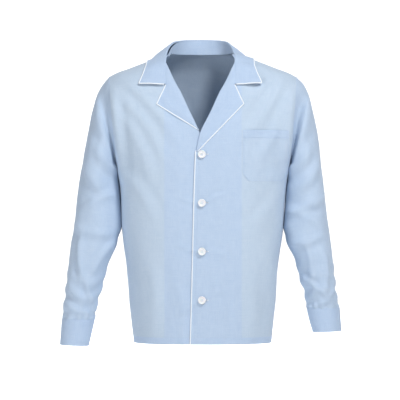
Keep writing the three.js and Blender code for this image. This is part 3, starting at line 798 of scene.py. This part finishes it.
def make_sleeve(side, s_from, s_to, rows=130, columns=150):
    curves = ring_curves(SLEEVE_ROWS, side)
    angle = np.linspace(-math.pi, math.pi, columns + 1)[:-1]
    over_top = over_shoulder(angle)
    edge = armhole_ring(side, curves, angle, (2.0 * over_top - 0.6) * MM)
    first = tube_point(curves, side, 0.0, angle, 0 * angle)
    result = []
    for s in np.linspace(s_from, s_to, rows):
        place = tube_point(curves, side, s, angle, 0 * angle)
        ring = tube_point(curves, side, s, angle, sleeve_fold(side, s, angle, place))
        result.append(hug_body(ring + (edge - first) * (1 - smooth(s / 1.3)), s))
    if s_from == 0:
        tuck = np.stack([-side * (4 + 10 * over_top), 0 * angle, 4.5 * over_top], -1) * MM
        result.insert(0, armhole_ring(side, curves, angle, -1.5 * MM) + tuck)
    if s_to == LAST_RING:
        down = np.array([side * 1.5, 0, -7]) * MM
        result.append(tube_point(curves, side, s_to, angle, 0 * angle - 2.4 * MM) + down)
    return np.array(result)


# how deep the blue of the sleeves is, between one layer and two
SLEEVE_DEPTH = 0.55
sleeves = {}
for side, word in SIDES:
    for part, s_from, s_to in (("upper", 0, SLEEVE_JOIN), ("lower", SLEEVE_JOIN, LAST_RING)):
        sleeves[word, part] = cloth_from(
            f"{word}_sleeve_{part}_cloth", make_sleeve(side, s_from, s_to), jacket_cotton,
            SLEEVE_DEPTH, closed_round=True, flip=side < 0)
print("sleeves:", len(sleeves["left", "upper"].data.polygons), "faces in an upper one")

# %% [markdown]
# ## Cuffs
# A doubled band round each wrist, stitched near both edges. Its lower edge is folded, so the cloth
# turns in and runs back up inside.

# %% Cuffs
CUFF_STITCH = (0.07, 0.93)


def cuff_point(side, t, angle, lift):
    curves = ring_curves(CUFF_ROWS, side)
    place = tube_point(curves, side, t, angle, 0 * angle)
    soft = 1.0 * MM * soft_noise(place, (0.035, 0.035, 0.05), 31)
    soft = soft + 0.2 * MM * soft_noise(place, 0.01, 32)
    grooves = sum(stitch_groove((t - at) * 66 * MM) for at in CUFF_STITCH)
    return tube_point(curves, side, t, angle, lift + soft + grooves)


def make_cuff(side, columns=140):
    angle = np.linspace(-math.pi, math.pi, columns + 1)[:-1]
    rows = [(0.06, -1.2), (0.0, -1.1), (-0.012, -0.2), (0.0, 0.7)]
    rows += [(t, 1.1) for t in np.linspace(0.03, 0.985, 44)]
    rows += [(1.0, 0.6), (1.0, -0.5), (0.97, -0.9), (0.85, -0.9), (0.5, -0.9)]
    return np.array([cuff_point(side, t, angle, lift * MM) for t, lift in rows])


cuffs = {word: cloth_from(f"{word}_cuff_cloth", make_cuff(side), jacket_cotton, 1.0,
                          closed_round=True, flip=side < 0)
         for side, word in SIDES}
print("cuffs:", len(cuffs["left"].data.polygons), "faces in each")

# %% [markdown]
# ## Lapels
# Above the break each front turns back on itself. The fold is a soft roll, never a crease, so the
# section of a lapel starts inside the opening, goes round half a circle and runs out over the front.

# %% Lapels
LAPEL_CORNER = (108 * MM, -124 * MM)
NOTCH = (86 * MM, -74 * MM)
LAPEL_START = {1: (-11 * MM, -247 * MM), -1: (-3 * MM, -192 * MM)}
LAPEL_LOW = {1: -243 * MM, -1: -188 * MM}
ROLL_RADIUS = 2.1 * MM


def lapel_reach(side, height):
    """Distance of a lapel's outer edge from the collar's centre."""
    start = LAPEL_START[side]
    under_collar = [(91 * MM, -67 * MM), (94 * MM, -20 * MM), (90 * MM, 4 * MM)]
    corners = sorted([start, LAPEL_CORNER, NOTCH, *under_collar], key=lambda corner: corner[1])
    return np.interp(height, [z for _, z in corners], [x for x, _ in corners])


def on_front(side, reach, height, offset):
    """A point over the front at a distance from the collar's centre."""
    x = COLLAR_X + side * reach
    lap = under_lap(x) if side < 0 else 0 * x
    return cloth_at(front_angle(x, height), height, offset + lap)


def make_lapel(side, rows=110):
    heights = np.linspace(2 * MM, LAPEL_LOW[side], rows)
    nearest = np.argmin(np.abs(heights - LAPEL_CORNER[1]))
    heights[nearest] = LAPEL_CORNER[1]
    turn = np.linspace(0, math.pi, 12)
    across = np.linspace(0, 1, 30)[1:]
    result = []
    for height in heights:
        roll = roll_at(height)
        radius = ROLL_RADIUS * (0.3 + 0.7 * smooth((height - LAPEL_LOW[side]) / (40 * MM)))
        radius *= 0.3 + 0.7 * smooth((-10 * MM - height) / (22 * MM))
        reach = np.concatenate([[roll + 4 * MM], roll - radius * np.sin(turn),
                                roll + (lapel_reach(side, height) - roll) * across])
        top = 0.6 * MM + radius
        bow = 1.6 * MM * smooth((-30 * MM - height) / (30 * MM))
        offset = np.concatenate([[0.6 * MM - radius], 0.6 * MM - radius * np.cos(turn),
                                 top + bow * np.sin(math.pi * across) - 0.7 * MM * across])
        result.append(on_front(side, reach, height, offset))
    return np.array(result)


lapels = {word: cloth_from(f"{word}_lapel_cloth", make_lapel(side), jacket_cotton, 1.0,
                           thickness=TURNED_CLOTH, flip=side < 0)
          for side, word in SIDES}
print("lapels:", len(lapels["left"].data.polygons), "faces in each")

# %% [markdown]
# ## Collar
# The fall is a strip bent round the neck, from the roll down to its outer edge. Each of its points
# is pushed clear of the shoulders. Inside the neck a narrower stand holds it up.

# %% Collar
# each row's roll and outer edge; None for a depth lays the point on the front
COLLAR_ROWS = [
    ((86, None, -74), (152, None, -74)), ((87.5, None, -50), (144, None, -52)),
    ((88.5, None, -24), (136, None, -30)), ((88, -42, 2), (129, -14, -11)),
    ((82, -6, 24), (122, 20, -8)), ((67, 38, 40), (104, 68, -14)),
    ((38, 70, 45), (58, 98, -22)), ((0, 80, 46), (0, 106, -26))]
STAND_ROWS = [
    ((83, -44, -2), (85, -46, 2)), ((78, -20, 8), (79, -24, 17)), ((76, 4, 8), (77, 2, 22)),
    ((63, 36, 8), (62, 36, 36)), ((36, 56, 8), (35, 64, 41)), ((0, 62, 8), (0, 74, 42))]
COLLAR_LIFT = 2.0 * MM
BULGE = 5 * MM


def edge_curve(rows, which, centre):
    """A smooth line from the wearer's left front, round the neck, to the right front."""
    ends = []
    for side in (1, -1):
        for row in rows if side > 0 else rows[-2::-1]:
            x, y, z = row[which]
            place = np.array([centre + side * x * MM, 0, z * MM])
            if y is None:
                place = cloth_at(front_angle(place[0], place[2]), place[2], COLLAR_LIFT)
            else:
                place[1] = y * MM
            ends.append(place)
    parts = np.linspace(0, 1, len(ends))
    return [curve_through(list(zip(parts, column))) for column in np.array(ends).T]


def along_curve(curves, t):
    return np.stack([curve(t) for curve in curves], -1)


def clear_of_body(points, clearance):
    """Pushes points out of the shoulders, in a few passes as each push changes what is nearest."""
    for _ in range(4):
        surface, normal, gap = body_beside(points)
        wanted = clearance + fold_at(surface)
        push = np.where((points[..., 2] < NECK + clearance) & (gap < wanted), wanted - gap, 0)
        points = points + normal * push[..., None]
    return points


collar_roll, collar_edge = (edge_curve(COLLAR_ROWS, k, COLLAR_X) for k in (0, 1))
COLLAR_T = np.linspace(0, 1, 260)
COLLAR_ALONG = np.linspace(0, 1, 34)
FALL_LIFT = 1.3 * MM


def collar_surface(t, along):
    """Points of the fall's upper face."""
    roll = along_curve(collar_roll, t)[:, None]
    edge = along_curve(collar_edge, t)[:, None]
    point = roll + (edge - roll) * along[None, :, None]
    away = point - np.array([COLLAR_X, 0, 0])
    away[..., 2] = 40 * MM
    away /= np.linalg.norm(away, axis=-1, keepdims=True)
    point = point + away * (BULGE * np.sin(math.pi * along))[None, :, None]
    point = clear_of_body(point, COLLAR_LIFT)
    at_tip = smooth((along[None] - 0.3) / 0.7) * (
        6.0 * smooth(1 - t[:, None] / 0.13) + 3.0 * smooth(1 - (1 - t[:, None]) / 0.13))
    height = np.minimum(point[..., 2], -6 * MM)
    out = body_normal(body_base(front_angle(point[..., 0], height), height))
    point = point + out * (at_tip * MM)[..., None]
    normal = np.cross(np.gradient(point, axis=1), np.gradient(point, axis=0))
    normal /= np.linalg.norm(normal, axis=-1, keepdims=True)
    ripple = 0.9 * MM * soft_noise(point, 0.034, 41) + 0.25 * MM * soft_noise(point, 0.012, 42)
    return point + normal * (FALL_LIFT + ripple)[..., None], normal


fall_points, fall_normals = collar_surface(COLLAR_T, COLLAR_ALONG)


def make_fall():
    """The fall, led by a half turn that goes over the roll to the stand."""
    inward = fall_points[:, :1] - fall_points[:, 1:2]
    inward /= np.linalg.norm(inward, axis=-1, keepdims=True)
    normal = fall_normals[:, :1]
    turn = np.linspace(math.pi, 0, 12)[None, :-1, None]
    behind = smooth((fall_points[:, 0, 2] + 0.034) / 0.024)
    radius = (0.45 * MM + 2.4 * MM * behind)[:, None, None]
    curl = fall_points[:, :1] + radius * ((np.cos(turn) - 1) * normal + np.sin(turn) * inward)
    return np.concatenate([curl, fall_points], axis=1)


collar_fall = cloth_from("collar_fall_cloth", make_fall(), jacket_cotton, 1.0,
                         thickness=TURNED_CLOTH, flip=True)


def make_stand(rows=150):
    foot, top = (edge_curve(STAND_ROWS, k, COLLAR_X / 2) for k in (0, 1))
    t = np.linspace(0, 1, rows)
    up = np.linspace(0, 1.06, 14)[None, :, None]
    low, high = along_curve(foot, t)[:, None], along_curve(top, t)[:, None]
    return low + (high - low) * up


collar_stand = cloth_from("collar_stand_cloth", make_stand(), jacket_cotton, 1.0,
                          thickness=1.1 * MM)
print("collar edge runs from", fall_points[0, -1].round(3), "to", fall_points[-1, -1].round(3))

# %% [markdown]
# ## Pocket
# A patch with cut lower corners, sewn down on three sides. Its mouth is turned in and stands a
# little off the chest.

# %% Pocket
POCKET_X, POCKET_WIDTH, POCKET_TOP, POCKET_HEIGHT = 156 * MM, 112 * MM, -190 * MM, 128 * MM
POCKET_CUT, POCKET_SEAM = 14 * MM, 2.5 * MM
POCKET_MOUTH = 0.15


def pocket_point(across, down, offset):
    foot = POCKET_CUT * np.maximum(0, (down - 0.86) / 0.14)
    x = POCKET_X + across * (POCKET_WIDTH / 2 - foot)
    height = POCKET_TOP - down * POCKET_HEIGHT
    standing = 1.7 * MM * (1 - across**4) * (1 - down) ** 2
    return cloth_at(front_angle(x, height), height, offset + standing)


def make_pocket(columns=70):
    """The pocket's rows, and how doubled each is: its mouth is turned in."""
    across = np.linspace(-1, 1, columns)
    rows = [(0.13, -0.75), (0.05, -0.8), (0.0, -0.6), (-0.004, 0.0), (0.0, 0.5)]
    rows += [(down, 0.75) for down in np.linspace(0.01, 1, 76)]
    sewn = stitch_groove((1 - np.abs(across)) * POCKET_WIDTH / 2 - POCKET_SEAM)
    points = []
    for down, lift in rows:
        stand = 0.35 * MM + lift * MM * (0.4 + 0.6 * (down < POCKET_MOUTH))
        mouth = stitch_groove((down - POCKET_MOUTH) * POCKET_HEIGHT)
        points.append(pocket_point(across, np.full(columns, down), stand + sewn + mouth))
    doubled = 0.35 + 0.4 * (np.arange(len(rows)) < 16)
    return np.array(points), doubled[:, None]


pocket_points, pocket_doubled = make_pocket()
pocket = cloth_from("chest_pocket_cloth", pocket_points, jacket_cotton, pocket_doubled,
                    thickness=0.5 * MM)
print("pocket:", len(pocket.data.polygons), "faces")

# %% [markdown]
# ## Piping
# White piping is a narrow folded strip with a cord inside, caught in the seam along the edges of
# the collar, the lapels and the left front. A round strip is swept along each edge.

# %% White cotton and strips
piping_cotton, piping_shader, wire = new_material(
    "white_piping", Base_Color=(0.86, 0.88, 0.91, 1), Roughness=0.75, Sheen_Weight=0.1)
weave = wire.node("ShaderNodeTexCoord", output="UV")
strands = wire.node("ShaderNodeTexWave", {"wave_type": "BANDS", "bands_direction": "DIAGONAL"},
                    Vector=weave, Scale=420.0, Distortion=1.5, Detail=2.0)
wire.tree.links.new(strands.mix((0.80, 0.87, 0.95), (0.90, 0.94, 0.98)).socket,
                    piping_shader.inputs["Base Color"])
relief = wire.node("ShaderNodeBump", Height=strands, Strength=0.3, Distance=0.0004)
wire.tree.links.new(relief.socket, piping_shader.inputs["Normal"])


def strip_points(path, radius, sides):
    """Rings of points round a path; the frame is carried along so the strip doesn't twist."""
    path = np.asarray(path)
    along = np.gradient(path, axis=0)
    along /= np.linalg.norm(along, axis=1, keepdims=True)
    out = np.cross(along[0], [0.3, 1, 0.2])
    turn = np.linspace(0, 2 * math.pi, sides + 1)[:-1]
    rings = []
    for place, ahead in zip(path, along):
        out = out - ahead * (out @ ahead)
        out = out / np.linalg.norm(out)
        side = np.cross(ahead, out)
        rings.append(place + radius * (np.cos(turn)[:, None] * out + np.sin(turn)[:, None] * side))
    rings = [np.tile(path[0], (sides, 1))] + rings + [np.tile(path[-1], (sides, 1))]
    return np.array(rings)


def even_path(path, step):
    path = np.asarray(path)
    gone = np.concatenate([[0], np.cumsum(np.linalg.norm(np.diff(path, axis=0), axis=1))])
    at = np.linspace(0, gone[-1], max(2, int(gone[-1] / step)))
    return np.stack([np.interp(at, gone, path[:, k]) for k in range(3)], -1)


def round_strip(name, path, radius, material, sides=10):
    mesh = grid_mesh(name, strip_points(even_path(path, 2.0 * MM), radius, sides), closed_round=True)
    mesh.uv_layers["threads"].name = "UVMap"
    mesh.materials.append(material)
    return add_object(name, mesh)


# %% Piping along the edges
PIPING = 1.65 * MM


def offset_line(corners, out):
    """Moves a line of (reach, height) corners to its outer side."""
    corners = np.array(corners)
    result = []
    for i in range(len(corners) - 1):
        way = corners[i + 1] - corners[i]
        way = way / np.hypot(*way)
        normal = np.array([way[1], -way[0]])
        steps = np.linspace(0, 1, 40)[:, None]
        result.append(corners[i] + (corners[i + 1] - corners[i]) * steps + normal * out)
    return np.concatenate(result)


pipings = {}
for side, word in SIDES:
    low = (lapel_reach(side, LAPEL_LOW[side]), LAPEL_LOW[side])
    line = offset_line([low, LAPEL_CORNER, (NOTCH[0], NOTCH[1] - 2 * MM)], 0.9 * MM)
    settle = 1.6 * MM * smooth((line[:, 1] - LAPEL_LOW[side]) / (30 * MM))
    path = on_front(side, line[:, 0], line[:, 1], settle)
    pipings[word] = round_strip(f"{word}_lapel_piping_strip", path, PIPING, piping_cotton)

edge_heights = np.linspace(BREAK + 6 * MM, HEM + 0.5 * MM, 240)
edge_x = front_edge_x(1, edge_heights)
front_piping = round_strip("front_edge_piping_strip", cloth_at(
    front_angle(edge_x - 1.0 * MM, edge_heights), edge_heights, -0.5 * MM), PIPING, piping_cotton)

edge_away = fall_points[:, -1] - fall_points[:, -3]
edge_away /= np.linalg.norm(edge_away, axis=1, keepdims=True)
outer_edge = fall_points[:, -1] + edge_away * 0.9 * MM - fall_normals[:, -1] * 0.5 * MM
ends = [fall_points[k, 2:] + np.array([0, 0, -0.9]) * MM - fall_normals[k, 2:] * 0.5 * MM
        for k in (0, -1)]
collar_piping = round_strip("collar_piping_strip", np.concatenate(
    [ends[0], outer_edge, ends[1][::-1]]), PIPING, piping_cotton)
print("collar piping:", len(collar_piping.data.polygons), "faces")

# %% [markdown]
# ## Buttons
# Moulded buttons have a raised rim, a dished face and four holes. The outline is turned on a lathe
# in mesh code, and the holes are cut with small cylinders. The thread crosses the face in two bars
# and is wound into a short shank behind, so that the button stands off the cloth.

# %% A button's outline
BUTTON_X = -3 * MM
BUTTON_HEIGHTS = [(-250.5 - 121.6 * i) * MM for i in range(4)]
BUTTON_LIFT = 2.4 * MM
HOLE_SPREAD, HOLE_RADIUS = 2.2 * MM, 0.85 * MM
# distance from the axis and height above the back, in millimetres
BUTTON_OUTLINE = [
    (0, 0), (7.4, 0), (8.8, 0.25), (9.6, 0.9), (10, 1.7), (10, 2.3), (9.8, 2.9), (9.35, 3.35),
    (8.8, 3.58), (8.2, 3.6), (7.7, 3.4), (7.2, 2.95), (6.6, 2.62), (5.6, 2.48), (0, 2.42)]

button_plastic, button_shader, wire = new_material(
    "button_plastic", Roughness=0.24, Coat_Weight=0.35, Coat_Roughness=0.12,
    Specular_IOR_Level=0.55, Subsurface_Weight=0.12, Subsurface_Scale=0.002)
place = wire.node("ShaderNodeTexCoord", output="Object")
clouds = wire.node("ShaderNodeTexNoise", Vector=place, Scale=260.0, Detail=3.0, Distortion=1.2)
wire.tree.links.new(clouds.mix((0.80, 0.83, 0.86), (0.92, 0.93, 0.94)).socket,
                    button_shader.inputs["Base Color"])
wire.tree.links.new((clouds * 0.18 + 0.16).socket, button_shader.inputs["Roughness"])


def button_mesh():
    shape = bmesh.new()
    segments = 48
    rings = []
    for radius, rise in BUTTON_OUTLINE:
        count = 1 if radius == 0 else segments
        rings.append([shape.verts.new((
            radius * MM * math.cos(2 * math.pi * k / count), -rise * MM,
            radius * MM * math.sin(2 * math.pi * k / count))) for k in range(count)])
    for low, high in zip(rings, rings[1:]):
        for k in range(segments):
            a, b = low[k % len(low)], low[(k + 1) % len(low)]
            c, d = high[(k + 1) % len(high)], high[k % len(high)]
            corners = [v for i, v in enumerate((a, b, c, d)) if v not in (a, b, c, d)[:i]]
            shape.faces.new(corners)
    bmesh.ops.recalc_face_normals(shape, faces=shape.faces)
    mesh = bpy.data.meshes.new("button")
    shape.to_mesh(mesh)
    drills = bmesh.new()
    for k in range(4):
        made = bmesh.ops.create_cone(drills, cap_ends=True, segments=14, radius1=HOLE_RADIUS,
                                     radius2=HOLE_RADIUS, depth=0.01)["verts"]
        turn = math.radians(45 + 90 * k)
        for vert in made:
            x, y, z = vert.co
            vert.co = (x + HOLE_SPREAD * math.cos(turn), z, y + HOLE_SPREAD * math.sin(turn))
    bmesh.ops.recalc_face_normals(drills, faces=drills.faces)
    drill_mesh = bpy.data.meshes.new("drills")
    drills.to_mesh(drill_mesh)
    blank, drill = add_object("button_blank", mesh), add_object("drills", drill_mesh)
    cutting = blank.modifiers.new("holes", "BOOLEAN")
    cutting.object = drill
    cutting.solver = "EXACT"
    bake_modifiers(blank)
    result = blank.data
    bpy.data.objects.remove(blank)
    bpy.data.objects.remove(drill)
    result.shade_smooth()
    result.set_sharp_from_angle(angle=math.radians(40))
    result.materials.clear()
    result.materials.append(button_plastic)
    return result


plain_button = button_mesh()


def twisted_thread(name, dark, light, roughness):
    """Sewing thread, whose plies show as fine slanted bands."""
    material, shader, wire = new_material(name, Roughness=roughness, Sheen_Weight=0.2)
    place = wire.node("ShaderNodeTexCoord", output="Object")
    plies = wire.node("ShaderNodeTexWave", {"bands_direction": "DIAGONAL"}, Vector=place,
                      Scale=900.0)
    wire.tree.links.new(plies.mix(dark, light).socket, shader.inputs["Base Color"])
    return material, shader, plies


thread_cotton, thread_shader, plies = twisted_thread(
    "sewing_thread", (0.62, 0.71, 0.83), (0.82, 0.87, 0.93), 0.7)
plies.tree.links.new((plies * 0.2 + 0.6).socket, thread_shader.inputs["Roughness"])


def at_button(points, height, depth):
    return np.asarray(points, float) + np.array([BUTTON_X, depth, height])


def button_threads(depth, height):
    """Two bars of thread across the face and a wound shank behind it."""
    bars = []
    for side in (1, -1):
        for strand in (-0.35, 0, 0.35):
            t = np.linspace(-1, 1, 9)
            x = side * 1.55 * MM + strand * MM + 0 * t
            y = -(2.3 + 0.75 * (1 - t**4)) * MM
            bars.append(strip_points(at_button(np.stack([x, y, 1.7 * MM * t], -1), height, depth),
                                     0.24 * MM, 6))
    turns = np.linspace(0, 9 * 2 * math.pi, 150)
    wound = np.stack([np.cos(turns), np.linspace(0.65, 5.4, 150), np.sin(turns)], -1) * MM
    return bars, [strip_points(at_button(wound, height, depth), 0.32 * MM, 6)]


def joined_strips(name, strips, material):
    mesh = bpy.data.meshes.new(name)
    vertices, faces = [], []
    for strip in strips:
        rows, sides = strip.shape[:2]
        index = np.arange(rows * sides).reshape(rows, sides) + len(vertices)
        following = np.roll(index, -1, axis=1)
        quads = np.stack([index[:-1], index[1:], following[1:], following[:-1]], -1)
        faces += quads.reshape(-1, 4).tolist()
        vertices += strip.reshape(-1, 3).tolist()
    mesh.from_pydata(vertices, [], faces)
    mesh.shade_smooth()
    mesh.materials.append(material)
    return add_object(name, mesh)


buttons, button_bars, shanks = [], [], []
for number, height in enumerate(BUTTON_HEIGHTS, 1):
    surface = body_base(front_angle(BUTTON_X, height), np.array(height))[1]
    depth = surface - BUTTON_LIFT
    mesh = plain_button.copy()
    for vertex in mesh.vertices:
        vertex.co = at_button(vertex.co, height, depth)
    buttons.append(add_object(f"button_{number}_disc", mesh))
    bars, shank = button_threads(depth, height)
    button_bars.append(joined_strips(f"button_{number}_stitches", bars, thread_cotton))
    shanks.append(joined_strips(f"button_{number}_shank", shank, thread_cotton))
print("a button has", len(plain_button.polygons), "faces")

# %% [markdown]
# ## Stitches
# A sewn line is a row of short, equal stitches. One node group walks along a line of points, sets a
# small rounded stitch at equal steps, turns it along the line and gives it its thread.

# %% Stitches
def stitch_nodes():
    tree = bpy.data.node_groups.new("stitch_row", "GeometryNodeTree")
    sockets = {}
    for name, kind in (("Geometry", "NodeSocketGeometry"), ("Spacing", "NodeSocketFloat"),
                       ("Length", "NodeSocketFloat"), ("Width", "NodeSocketFloat"),
                       ("Thread", "NodeSocketMaterial")):
        sockets[name] = tree.interface.new_socket(name, in_out="INPUT", socket_type=kind).identifier
    tree.interface.new_socket("Geometry", in_out="OUTPUT", socket_type="NodeSocketGeometry")
    node, link = tree.nodes.new, tree.links.new
    start, end = node("NodeGroupInput"), node("NodeGroupOutput")
    curve, points = node("GeometryNodeMeshToCurve"), node("GeometryNodeCurveToPoints")
    points.mode = "LENGTH"
    ball, place = node("GeometryNodeMeshUVSphere"), node("GeometryNodeInstanceOnPoints")
    ball.inputs["Segments"].default_value = 6
    ball.inputs["Rings"].default_value = 5
    ball.inputs["Radius"].default_value = 0.5
    size = node("ShaderNodeCombineXYZ")
    whole, paint = node("GeometryNodeRealizeInstances"), node("GeometryNodeSetMaterial")
    link(start.outputs["Geometry"], curve.inputs["Mesh"])
    link(curve.outputs["Curve"], points.inputs["Curve"])
    link(start.outputs["Spacing"], points.inputs["Length"])
    link(points.outputs["Points"], place.inputs["Points"])
    link(points.outputs["Rotation"], place.inputs["Rotation"])
    link(ball.outputs["Mesh"], place.inputs["Instance"])
    link(start.outputs["Width"], size.inputs["X"])
    link(start.outputs["Width"], size.inputs["Y"])
    link(start.outputs["Length"], size.inputs["Z"])
    link(size.outputs["Vector"], place.inputs["Scale"])
    link(place.outputs["Instances"], whole.inputs["Geometry"])
    link(whole.outputs["Geometry"], paint.inputs["Geometry"])
    link(start.outputs["Thread"], paint.inputs["Material"])
    link(paint.outputs["Geometry"], end.inputs["Geometry"])
    return tree, sockets


stitch_tree, stitch_sockets = stitch_nodes()
blue_thread, _, _ = twisted_thread("blue_thread", (0.36, 0.50, 0.74), (0.52, 0.66, 0.86), 0.65)


STITCH_SPACING, STITCH_LENGTH, STITCH_WIDTH = 3.3 * MM, 2.5 * MM, 0.42 * MM


def stitch_rows(name, paths):
    """Rows of stitches along paths of points, as one plain mesh."""
    mesh = bpy.data.meshes.new(name)
    points, edges = [], []
    for path in paths:
        first = len(points)
        points += np.asarray(path).tolist()
        edges += [(first + i, first + i + 1) for i in range(len(path) - 1)]
    mesh.from_pydata(points, edges, [])
    piece = add_object(name, mesh)
    rows = piece.modifiers.new("rows", "NODES")
    rows.node_group = stitch_tree
    for key, value in (("Spacing", STITCH_SPACING), ("Length", STITCH_LENGTH),
                       ("Width", STITCH_WIDTH), ("Thread", blue_thread)):
        rows[stitch_sockets[key]] = value
    bake_modifiers(piece)
    piece.data.shade_smooth()
    return piece


# %% Rows of stitches on each piece
ON_CLOTH = -0.18 * MM


def hem_row(points):
    """The row of a panel's grid nearest the hem's stitches."""
    outside = np.arange(len(points)) <= 200
    return points[np.argmin(np.abs(points[:, 0, 2] - HEM_STITCH) + np.where(outside, 0, 9))]


def front_line(x, height):
    return cloth_at(front_angle(x, height), height, ON_CLOTH)


edge_run = np.linspace(BREAK - 4 * MM, HEM + 16 * MM, 300)
left_seams = stitch_rows("left_front_stitches", [
    hem_row(left_points), front_line(left_edge_at(edge_run) + 6 * MM, edge_run)])
right_seams = stitch_rows("right_front_stitches", [hem_row(right_points)])
back_seams = stitch_rows("back_stitches", [hem_row(back_points)])
POCKET_FOOT = 0.985
sewn_down = np.linspace(0.01, POCKET_FOOT, 90)
side_inset = 1 - 2 * POCKET_SEAM / POCKET_WIDTH
pocket_sides = [pocket_point(side * side_inset + 0 * sewn_down, sewn_down, 0.55 * MM)
                for side in (-1, 1)]
foot_run = np.linspace(-side_inset, side_inset, 60)
pocket_foot = pocket_point(foot_run, 0 * foot_run + POCKET_FOOT, 0.55 * MM)
pocket_hem = pocket_point(foot_run, 0 * foot_run + POCKET_MOUTH, 1.0 * MM)
pocket_seams = stitch_rows("pocket_stitches", [*pocket_sides, pocket_foot, pocket_hem])
cuff_turn = np.linspace(-math.pi, math.pi, 200)
cuff_seams = {word: stitch_rows(f"{word}_cuff_stitches", [
    cuff_point(side, at, cuff_turn, 1.1 * MM + ON_CLOTH) for at in CUFF_STITCH])
    for side, word in SIDES}
shoulder_run = np.linspace(-44 * MM, -9 * MM, 60)
shoulder_deep = front_depth(shoulder_run)
shoulder_turn = angle_at_depth(SHOULDER_SEAM_Y - 3 * MM, shoulder_deep)
shoulder_seams = stitch_rows("shoulder_stitches", [
    cloth_at(-shoulder_turn, shoulder_run, ON_CLOTH),
    cloth_at(shoulder_turn - math.pi, shoulder_run, ON_CLOTH)])
print("stitches on the back:", len(back_seams.data.polygons), "faces")

# %% [markdown]
# ## Buttonholes
# A buttonhole is a slit whose edges are covered with stitches set side by side across them, with a
# wider bar at each end. Here short strips of thread lie side by side across both lips, with a bar
# across the outer end.

# %% Buttonholes
HOLE_LENGTH = 19 * MM
HOLE_START = BUTTON_X - 3 * MM


def buttonhole_stitches(name, height):
    """Stitches laid across both lips of a buttonhole, and a bar across its outer end."""
    end = HOLE_START + HOLE_LENGTH
    paths = []
    for x in np.arange(HOLE_START, end, 0.55 * MM):
        for lip in (-1, 1):
            across = height + lip * np.linspace(0.15, 1.25, 3) * MM
            paths.append(cloth_at(front_angle(x, across), across, 0.12 * MM))
    for x in np.arange(end, end + 1.4 * MM, 0.5 * MM):
        across = height + np.linspace(-1.35, 1.35, 3) * MM
        paths.append(cloth_at(front_angle(x, across), across, 0.12 * MM))
    strips = [strip_points(path, 0.3 * MM, 5) for path in paths]
    return joined_strips(name, strips, thread_cotton)


# The buttonholes are not cut through: each slit is a thin sheet of near-black blue, painted shade where
# the opening looks dark, its tone varied by noise.
slit_shade_paint, slit_shade_shader, wire = new_material("buttonhole_slit_painted_shade", Roughness=0.95)
place = wire.node("ShaderNodeTexCoord", output="Object")
shade_tones = wire.node("ShaderNodeTexNoise", Vector=place, Scale=800.0)
wire.tree.links.new(shade_tones.mix((0.05, 0.09, 0.18), (0.12, 0.18, 0.30)).socket,
                    slit_shade_shader.inputs["Base Color"])


# A thin sheet of painted shade lying just over the cloth along the buttonhole's opening.
def slit_shade_sheet(name, height):
    x = np.linspace(HOLE_START, HOLE_START + HOLE_LENGTH, 20)
    gape = 0.34 * MM * np.sin(np.linspace(0, math.pi, 20)) ** 0.5
    rows = [cloth_at(front_angle(x, height + way * gape), height + way * gape, lift * MM)
            for way, lift in ((1, 0.02), (0.5, 0.06), (-0.5, 0.06), (-1, 0.02))]
    mesh = grid_mesh(name, np.array(rows))
    mesh.materials.append(slit_shade_paint)
    return add_object(name, mesh)


holes = []
for number, height in enumerate(BUTTON_HEIGHTS, 1):
    holes.append(buttonhole_stitches(f"buttonhole_{number}_stitches", height))
    holes.append(slit_shade_sheet(f"buttonhole_{number}_slit", height))
print("buttonholes:", len(holes), "pieces")

# %% [markdown]
# ## Joining the pieces to the frame
# Each soft piece stands for the solids it covers. Cloth that crosses a joint bends over a stretch
# of its length, as a sleeve does at the elbow; here the sleeves, the lapels and their piping are
# left unattached and do not bend, and the rest rides on one body.

# %% Stand-ins
def bend_over(piece, ring, side):
    x, y, z, _, _, across_x, across_z = ring_values(SLEEVE_ROWS[ring], side)
    centre = np.array([side * x, y, z])
    down = np.array([side * across_z, 0, -across_x])
    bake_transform(piece)


for piece, node in ((left_front, "left_front"), (right_front, "right_front"), (back_panel, "back_panel"),
                    (left_facing, "left_facing"), (right_facing, "right_facing"),
                    (collar_fall, "collar_fall"), (collar_stand, "collar_stand"),
                    (collar_piping, "collar_piping"), (front_piping, "front_edge_piping"),
                    (pocket, "chest_pocket")):
    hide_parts(node)
    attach(piece, "root")
for piece in (left_seams, right_seams, back_seams, pocket_seams, shoulder_seams, *holes):
    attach(piece, "root")

for side, word in SIDES:
    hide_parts(f"{word}_lapel", f"{word}_lapel_top")
    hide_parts(f"{word}_lapel_piping")
    for piece in (lapels[word], pipings[word]):
        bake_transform(piece)
    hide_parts(f"{word}_sleeve_head", f"{word}_sleeve_upper")
    bend_over(sleeves[word, "upper"], BEND_RING, side)
    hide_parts(f"{word}_sleeve_lower")
    bend_over(sleeves[word, "lower"], ELBOW_RING, side)
    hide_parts(f"{word}_cuff")
    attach(cuffs[word], f"{word}_forearm")
    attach(cuff_seams[word], f"{word}_forearm")
for number, pieces in enumerate(zip(buttons, button_bars, shanks), 1):
    disc, bars, shank = pieces
    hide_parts(f"button_{number}")
    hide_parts(f"button_{number}_thread")
    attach(disc, f"button_{number}_disc")
    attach(bars, f"button_{number}_disc")
    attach(shank, "root")

# %% [markdown]
# ## The cut of each sheet
# For every sheet, the flat rectangle it was cut from, measured along its threads, and the area of
# the cut itself are printed.

# %% Flat sizes
def cut_from(piece):
    mesh = piece.data
    threads = np.empty(len(mesh.loops) * 2, np.float32)
    mesh.uv_layers["threads"].data.foreach_get("uv", threads)
    width, length = np.ptp(threads.reshape(-1, 2), axis=0).tolist()
    area = min(sum(face.area for face in mesh.polygons) / 2, width * length)
    print(f"{piece.name}: cut from {width:.3f} x {length:.3f} m, {area:.4f} m2")


cut_from(back_panel)
cut_from(left_front)
cut_from(right_front)
cut_from(left_facing)
cut_from(right_facing)
cut_from(collar_fall)
cut_from(collar_stand)
cut_from(pocket)
for side, word in SIDES:
    cut_from(lapels[word])
    cut_from(sleeves[word, "upper"])
    cut_from(sleeves[word, "lower"])
    cut_from(cuffs[word])
